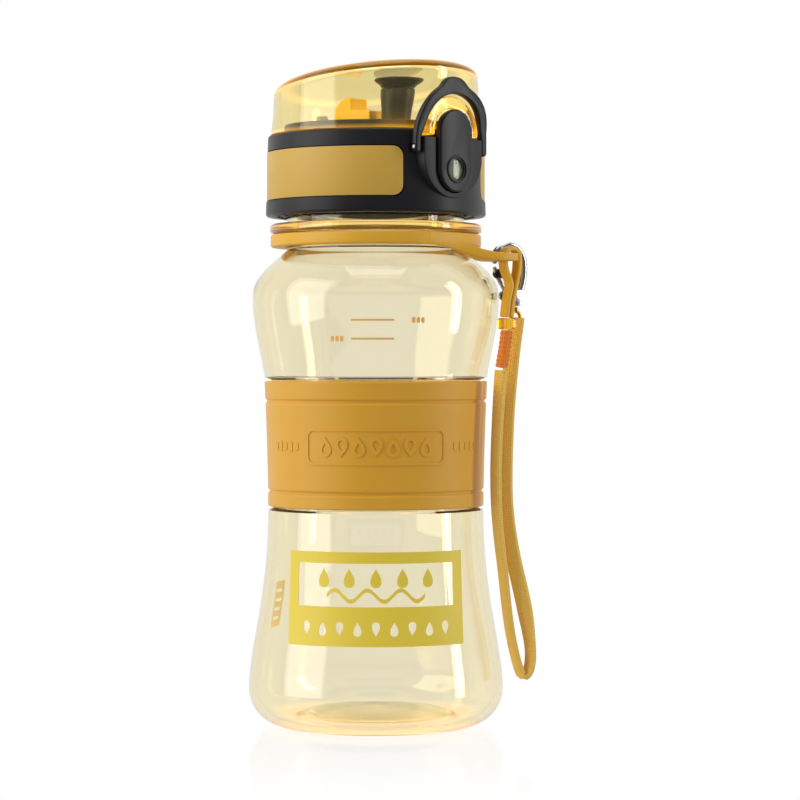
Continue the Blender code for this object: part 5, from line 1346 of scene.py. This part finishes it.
# %% [markdown]
# ## Neck band
#
# A flat strap that is stretched over the neck and turns on it. Its tail leaves the ring on a
# tangent, widens and ends in a tab with a slot. The tail is lofted: each station is a rounded
# rectangle whose width and height ease from the ring's to the tab's.


# %% Neck band
def bar_point(along, up, side=HOOK_SIDE):
    """A point from the bar: along the tail, up, and at a place along the bar."""
    return BAR_PLACE + ALONG * along + ACROSS * side + Vector((0, 0, up))


def at_bar(points, side=HOOK_SIDE):
    return [bar_point(along, up, side) for along, up in points]


def bar_rod(name, where, half, radius, **rest):
    """A rod as long as two halves, along the bar through a point of the hook."""
    return rod(name, bar_point(*where, HOOK_SIDE - half), bar_point(*where, HOOK_SIDE + half), radius, **rest)


def make_neck_band():
    bottom = FLANGE_BOTTOM - GAP - RING_HEIGHT
    half = RING_HEIGHT / 2
    edge = 0.5 * MM
    top = bottom + RING_HEIGHT
    corners = ((RING_OUTER, top, 90, 0), (RING_OUTER, bottom, 0, -90), (RING_INNER, bottom, -90, -180),
               (RING_INNER, top, 180, 90))
    profile = [point for r, z, start, end in corners for point in corner(r, z, edge, start, end, 3)]
    band_ring = turned("neck_strap", profile, closed=True)
    reach = ALONG.dot(BAR_PLACE)
    work = bmesh.new()
    previous = None
    tab_start = SLOT_LENGTH + BAR / 2 + 1.6 * MM
    count = 36
    for i in range(count + 1):
        share = i / count
        back = -(reach + 2 * MM) + share * (reach + 2 * MM - tab_start + 1.5 * MM)
        ease = share * share * (3 - 2 * share)
        middle = (bottom + half) * (1 - ease) + BAR_PLACE.z * ease
        tall = half * (1 - ease) + TAB_HEIGHT / 2 * ease
        wide = TAIL_THICKNESS / 2 * (1 - ease) + TAIL_WIDTH / 2 * ease ** 3 + 0.2 * MM * ease
        section = rounded_box(2 * wide, 2 * tall, min(0.45 * MM, 0.45 * tall), count=2)
        ring_points = []
        for across, up in section:
            where = BAR_PLACE + ALONG * back + ACROSS * across
            ring_points.append(work.verts.new((where.x, where.y, middle + up)))
        if previous:
            for k in range(len(section)):
                n = (k + 1) % len(section)
                work.faces.new((previous[k], previous[n], ring_points[n], ring_points[k]))
        else:
            work.faces.new(ring_points)
        previous = ring_points
    work.faces.new(previous)
    bmesh.ops.recalc_face_normals(work, faces=work.faces)
    tail = from_work("tail", work)
    turn = Matrix.Translation(BAR_PLACE) @ HEADING
    tab = box("tab", (-tab_start, -TAIL_WIDTH / 2, -TAB_HEIGHT / 2),
              (BAR / 2, TAIL_WIDTH / 2, TAB_HEIGHT / 2), rounding=0.5 * MM)
    tab.data.transform(turn)
    slot = box("slot", (-SLOT_LENGTH - BAR / 2, -SLOT_WIDTH / 2, -5 * MM), (-BAR / 2, SLOT_WIDTH / 2, 5 * MM))
    slot.data.transform(turn)
    return cut(joined(band_ring, tail, tab), slot)


finished(make_neck_band(), STRAP, "neck_band", 35)

# %% [markdown]
# ## Tape, ferrule and fold
#
# A flat tape goes over the bar and down into a clear crimped collar, and out of it comes the
# sewn end of the webbing. Ribbons are swept with their own UV map, so the weave follows them.


# %% Ribbons
def ribbon(name, line, widths, width, thickness, bulge=0.25):
    """A flat band swept along points. Each point has its own direction of width, and the section is
    a flat oval. UV runs along the length and across the width, in metres."""
    work = bmesh.new()
    uv = work.loops.layers.uv.new("weave")
    rows, lengths = [], [0.0]
    for p, q in zip(line, line[1:]):
        lengths.append(lengths[-1] + (q - p).length)
    section = rounded_box(width, thickness, thickness * (0.5 - bulge / 2), count=3)
    count = len(section)
    around = [0.0]
    for (x0, y0), (x1, y1) in zip(section, section[1:] + section[:1]):
        around.append(around[-1] + math.hypot(x1 - x0, y1 - y0))
    for i, here in enumerate(line):
        ahead = (line[min(i + 1, len(line) - 1)] - line[max(i - 1, 0)]).normalized()
        wide = (widths[i] - ahead * widths[i].dot(ahead)).normalized()
        thick = ahead.cross(wide)
        rows.append([work.verts.new(here + wide * x + thick * y) for x, y in section])
    for i, (a, b) in enumerate(zip(rows, rows[1:])):
        for k in range(count):
            n = (k + 1) % count
            face = work.faces.new((a[k], a[n], b[n], b[k]))
            for loop, (u, v) in zip(face.loops, ((lengths[i], around[k]), (lengths[i], around[k + 1]),
                                                 (lengths[i + 1], around[k + 1]),
                                                 (lengths[i + 1], around[k]))):
                loop[uv].uv = (u, v)
    work.faces.new(rows[0][::-1])
    work.faces.new(rows[-1])
    bmesh.ops.recalc_face_normals(work, faces=work.faces)
    return from_work(name, work)


def make_tape():
    apart = (TAPE_THICKNESS + GAP) / 2
    foot = FERRULE_TOP + GAP
    left = [(FERRULE_ALONG - apart, foot), (-1.35 * MM, -12 * MM), (-0.4 * MM, -7.5 * MM),
            (-1.9 * MM, -3.8 * MM), (-TAPE_BEND, -1.5 * MM)]
    right = [(TAPE_BEND, -1.5 * MM), (1.9 * MM, -5 * MM), (0.2 * MM, -12 * MM), (FERRULE_ALONG + apart, foot)]
    route = through(at_bar(left + arc((0, 0), TAPE_BEND, 170, 10, 10) + right, TAPE_SIDE), 120)
    return ribbon("bar_tape", route, [ACROSS] * len(route), TAPE_WIDTH, TAPE_THICKNESS, 0.5)


finished(make_tape(), STRAP, "tape_loop", 50)
ferrule = box("crimp", [-size / 2 for size in FERRULE], [size / 2 for size in FERRULE], rounding=0.7 * MM)
ferrule_middle = bar_point(FERRULE_ALONG, FERRULE_TOP - FERRULE[2] / 2, TAPE_SIDE)
ferrule.data.transform(Matrix.Translation(ferrule_middle) @ HEADING)
finished(ferrule, FERRULE_CLEAR, "ferrule", 40)
fold_top = FERRULE_TOP - FERRULE[2] - GAP
fold_line = through(at_bar([(FERRULE_ALONG, fold_top), (FERRULE_ALONG - 0.5 * MM, fold_top - 3.5 * MM),
                            (FERRULE_ALONG - 1.2 * MM, fold_top - 7 * MM),
                            (FERRULE_ALONG - 1.8 * MM, fold_top - 10 * MM)], TAPE_SIDE), 60)
fold = ribbon("sewn_fold", fold_line, [ACROSS] * len(fold_line), FOLD_WIDTH, FOLD_THICKNESS, 0.3)
finished(fold, ORANGE, "strap_fold", 50)

# %% [markdown]
# ### Stitches
#
# Rows of stitches repeat along the fold, so Geometry Nodes stand one short stitch at even steps
# along each line they are given: three lines on both faces, and two on each edge.

# %% Stitch rows
def stitch_tree():
    """Group: short rounded stitches at even steps along the curve it is given."""
    tree, given, result = new_group("stitch_row", (
        ("Step", "Float", 1.4 * MM), ("Length", "Float", MM), ("Thickness", "Float", 0.18 * MM)), True)
    nodes, link = tree.nodes, tree.links.new
    line = nodes.new("GeometryNodeMeshToCurve")
    link(given.outputs["Geometry"], line.inputs[0])
    points = nodes.new("GeometryNodeCurveToPoints")
    points.mode = "LENGTH"
    link(line.outputs[0], points.inputs["Curve"])
    link(given.outputs["Step"], points.inputs["Length"])
    stitch = nodes.new("GeometryNodeMeshUVSphere")
    stitch.inputs["Segments"].default_value, stitch.inputs["Rings"].default_value = 8, 6
    stitch.inputs["Radius"].default_value = 0.5
    size = nodes.new("ShaderNodeCombineXYZ")
    link(given.outputs["Thickness"], size.inputs[0])
    link(given.outputs["Thickness"], size.inputs[1])
    link(given.outputs["Length"], size.inputs[2])
    stand = nodes.new("GeometryNodeInstanceOnPoints")
    link(points.outputs["Points"], stand.inputs["Points"])
    link(stitch.outputs[0], stand.inputs["Instance"])
    link(points.outputs["Rotation"], stand.inputs["Rotation"])
    link(size.outputs[0], stand.inputs["Scale"])
    return end_group(tree, stand.outputs[0], given, result)


def stitched(name, lines, finish, body, step, length, thickness):
    """Stitches along each line of points, as one plain mesh."""
    mesh = bpy.data.meshes.new(name)
    points, edges = [], []
    for line in lines:
        edges += [(len(points) + i, len(points) + i + 1) for i in range(len(line) - 1)]
        points += [tuple(p) for p in line]
    mesh.from_pydata(points, edges, [])
    made = grown(name, STITCHES, {"Step": step, "Length": length, "Thickness": thickness,
                                  "Finish": finish.material}, mesh)
    return added(made, finish, body, 60)


STITCHES = stitch_tree()
fold_across = 1.0 * MM
fold_face = FOLD_THICKNESS / 2 + 0.02 * MM
rows = [[p + ACROSS * side + ALONG * face for p in fold_line[4:-4]]
        for side in (-fold_across, 0.0, fold_across) for face in (-fold_face, fold_face)]
edge_rows = [[p + ACROSS * side + ALONG * face for p in fold_line[4:-4]]
             for side in (-1.62 * MM, 1.62 * MM) for face in (-0.6 * MM, 0.6 * MM)]
fold_stitches = stitched("fold_stitches", rows + edge_rows, THREAD, "strap",
                         1.15 * MM, 0.8 * MM, 0.3 * MM)
print("stitches:", len(fold_stitches.data.polygons), "faces")

# %% [markdown]
# ## Snap hook
#
# A die-cast hook: a round arm over the bar that thickens towards its foot, a sprung gate on a
# pin between two cheeks, a black thumb nub on the gate, and a small eye under it.
# The arm is swept with a radius of its own at each point.


# %% Hook, gate, nub and eye
def swept(name, points, radii, sides=20):
    """A round arm whose radius changes along its length, with domed ends."""
    work = bmesh.new()
    rows = []
    reference = ACROSS
    for i, here in enumerate(points):
        ahead = (points[min(i + 1, len(points) - 1)] - points[max(i - 1, 0)]).normalized()
        side = (reference - ahead * reference.dot(ahead)).normalized()
        up = ahead.cross(side)
        rows.append([work.verts.new(here + (side * math.cos(t) + up * math.sin(t)) * radii[i])
                     for t in (2 * math.pi * k / sides for k in range(sides))])
    for a, b in zip(rows, rows[1:]):
        for k in range(sides):
            work.faces.new((a[k], a[(k + 1) % sides], b[(k + 1) % sides], b[k]))
    for row, tip in ((rows[0], points[0]), (rows[-1], points[-1])):
        pole = work.verts.new(tip)
        for k in range(sides):
            work.faces.new((row[k], row[(k + 1) % sides], pole))
    bmesh.ops.recalc_face_normals(work, faces=work.faces)
    return from_work(name, work)


def domed(points, radii, steps=6):
    """The same arm with a half-round at each end."""
    first, last = (points[0] - points[1]).normalized(), (points[-1] - points[-2]).normalized()
    angles = [math.radians(90 * i / steps) for i in range(1, steps)]
    start = [(points[0] + first * radii[0] * math.sin(t), radii[0] * math.cos(t)) for t in angles][::-1]
    end = [(points[-1] + last * radii[-1] * math.sin(t), radii[-1] * math.cos(t)) for t in angles]
    return ([p for p, _ in start] + list(points) + [p for p, _ in end],
            [r for _, r in start] + list(radii) + [r for _, r in end])


def make_hook():
    line = (arc((0, 0), HOOK_BEND, 200, 88, 8)
            + [(2.8 * MM, 3.4 * MM), (5.2 * MM, 2.7 * MM), (6.9 * MM, 0.4 * MM), (7.4 * MM, -2.6 * MM),
               (7.1 * MM, -6.2 * MM), (6.0 * MM, -9.8 * MM), (5.0 * MM, -12.4 * MM)])
    points = through(at_bar(line), 70)
    radii = [HOOK_WIRE * (0.96 + 0.34 * max(0.0, math.sin(math.pi * (i / 70 - 0.25) / 0.75)) ** 2)
             for i in range(71)]
    arm = swept("hook_arm", *domed(points, radii))
    cheeks = GATE_HUB[1] + 2 * GAP
    outline = (arc(GATE_PIVOT, 1.4 * MM, 80, 250, 20)
               + curve((1.9 * MM, -11.8 * MM), (2.6 * MM, -12.4 * MM), (3.6 * MM, HOOK_FOOT[1]),
                       (HOOK_FOOT[0] - 0.8 * MM, HOOK_FOOT[1]), 6)
               + [(HOOK_FOOT[0] + 0.7 * MM, HOOK_FOOT[1])]
               + curve((6.2 * MM, -12.2 * MM), (6.9 * MM, -10.8 * MM), (7.2 * MM, -9.6 * MM),
                       (6.9 * MM, -8.6 * MM), 8))
    base = plate("hook_base", [outline], cheeks + 2 * CHEEK, facing="bar", at=HOOK_SIDE, rounding=0.3 * MM)
    left, right = GATE_PIVOT[0] - 3 * MM, GATE_PIVOT[0] + 1.7 * MM
    low, high = GATE_PIVOT[1] - 4 * MM, GATE_PIVOT[1] + 3 * MM
    slot = plate("hook_slot", [[(left, low), (right, low), (right, high), (left, high)]], cheeks,
                 facing="bar", at=HOOK_SIDE)
    pin_hole = bar_rod("hook_pin_hole", GATE_PIVOT, 4 * MM, GATE_PIN + 0.1 * MM, steps=24)
    base = cut(base, slot, pin_hole)
    return joined(arm, base)


GATE_LINE = through(at_bar([(-HOOK_BEND + 0.2 * MM, -3.1 * MM), (-1.4 * MM, -5.2 * MM), (0.4 * MM, -7.9 * MM),
                            GATE_PIVOT]), 40)


def gate_arm(name, radius):
    """The gate's bent arm at a radius of its own, for the arm itself and for the nub's bore."""
    return swept(name, *domed(GATE_LINE, [radius] * len(GATE_LINE)), sides=16)


def make_gate():
    arm = gate_arm("gate_arm", GATE_WIRE)
    hub = bar_rod("gate_hub", GATE_PIVOT, GATE_HUB[1] / 2, GATE_HUB[0], steps=32, rounding=0.15 * MM)
    hole = bar_rod("gate_hole", GATE_PIVOT, 3 * MM, GATE_PIN + 0.1 * MM, steps=24)
    return cut(joined(arm, hub), hole)


def make_knob():
    low, high = KNOB_REACH
    half = (high - low) / 2
    outline = []
    for i in range(61):
        x = -half + 2 * half * i / 60
        shape = KNOB_RADIUS * (1 - (abs(x) / half) ** 6) ** 0.5
        ribs = 0.1 * MM * (0.5 + 0.5 * math.cos(2 * math.pi * x / (0.72 * MM))) * (1 - (abs(x) / half) ** 4)
        outline.append((max(shape - ribs, 0.0), -x))
    outline[0], outline[-1] = (0.0, half), (0.0, -half)
    knob = turned("nub", outline, steps=SMALL)
    middle = bar_point((low + high) / 2, KNOB_HEIGHT)
    knob.data.transform(Matrix.Translation(middle) @ ALONG.to_track_quat("Z", "Y").to_matrix().to_4x4())
    return cut(knob, gate_arm("nub_bore", GATE_WIRE + 0.1 * MM))


def make_eye():
    along, top = HOOK_FOOT[0], HOOK_FOOT[1] - GAP
    stem = rod("eye_stem", bar_point(along, top - EYE_STEM), bar_point(along, top), EYE_STEM_RADIUS, steps=32,
               rounding=0.12 * MM)
    loop = turned("eye_loop", arc((EYE_RING, 0), EYE_WIRE, 0, 345, 23)[::-1], steps=48, closed=True)
    middle = bar_point(along, top - EYE_STEM - EYE_RING + 0.3 * EYE_WIRE)
    loop.data.transform(Matrix.Translation(middle) @ HEADING @ FACE_FRONT)
    return joined(stem, loop)


finished(make_hook(), CHROME, "snap_hook", 40)
finished(make_gate(), CHROME, "hook_gate", 40)
finished(make_knob(), BLACK_GLOSS, "gate_knob", 50)
finished(make_eye(), EYE_AMBER, "swivel_eye", 40)
print("hook made")

# %% [markdown]
# ## Wrist loop
#
# One length of webbing hangs from the eye, turns at the bottom and comes back up to the fold.
# It twists a quarter turn on the way, so one side shows its face and the other its edge.


# %% Wrist loop
def loop_points(points):
    """The loop's line from (spread from the axis, depth to the front, height)."""
    spread = Vector((math.cos(LOOP_PLANE), math.sin(LOOP_PLANE), 0))
    depth = Vector((math.sin(LOOP_PLANE), -math.cos(LOOP_PLANE), 0))
    return [spread * x * MM + depth * y * MM + Vector((0, 0, z * MM)) for x, y, z in points]


LOOP_ROUTE = [
    (38.9, 5.6, 113.0), (38.5, 6.1, 109.8), (38.0, 6.6, 106.5), (37.3, 7.6, 101.0), (36.6, 8.6, 94.5),
    (36.0, 9.4, 87.0), (35.6, 9.9, 79.0), (35.4, 10.2, 71.0), (35.5, 10.4, 63.0), (36.3, 10.6, 55.0),
    (37.7, 10.8, 47.0), (39.3, 11.0, 40.0), (40.7, 11.2, 33.5), (41.8, 11.3, 27.0), (42.4, 11.4, 21.0),
    (41.9, 11.5, 16.6), (40.3, 11.6, 14.6), (38.9, 11.8, 17.6), (37.6, 12.0, 22.6), (36.5, 12.2, 28.5),
    (35.6, 12.4, 35.5), (34.7, 12.7, 44.0), (33.7, 12.9, 52.5), (33.0, 13.1, 61.0), (32.8, 13.2, 70.0),
    (33.0, 13.2, 79.0), (33.4, 13.2, 87.0), (33.9, 13.3, 94.5), (34.2, 13.3, 98.6),
]
TWIST = ((0.0, 20.0), (0.12, 12.0), (0.42, 18.0), (0.5, 60.0), (0.58, 68.0), (0.9, 60.0), (1.0, 52.0))


def twist_at(share):
    for (s0, a0), (s1, a1) in zip(TWIST, TWIST[1:]):
        if share <= s1:
            t = (share - s0) / (s1 - s0)
            return math.radians(a0 + (a1 - a0) * t * t * (3 - 2 * t))
    return math.radians(TWIST[-1][1])


loop_line = through(loop_points(LOOP_ROUTE), 260)
loop_widths = [RIGHTWARDS * math.cos(twist_at(i / 260)) + TOWARDS * math.sin(twist_at(i / 260))
               for i in range(261)]
wrist_loop = ribbon("wrist_loop", loop_line, loop_widths, WEBBING_WIDTH, WEBBING_THICKNESS)
finished(wrist_loop, WEBBING, "wrist_strap", 50)
loop_length = sum((q - p).length for p, q in zip(loop_line, loop_line[1:]))
print("wrist loop:", round(loop_length / MM, 1), "mm long")
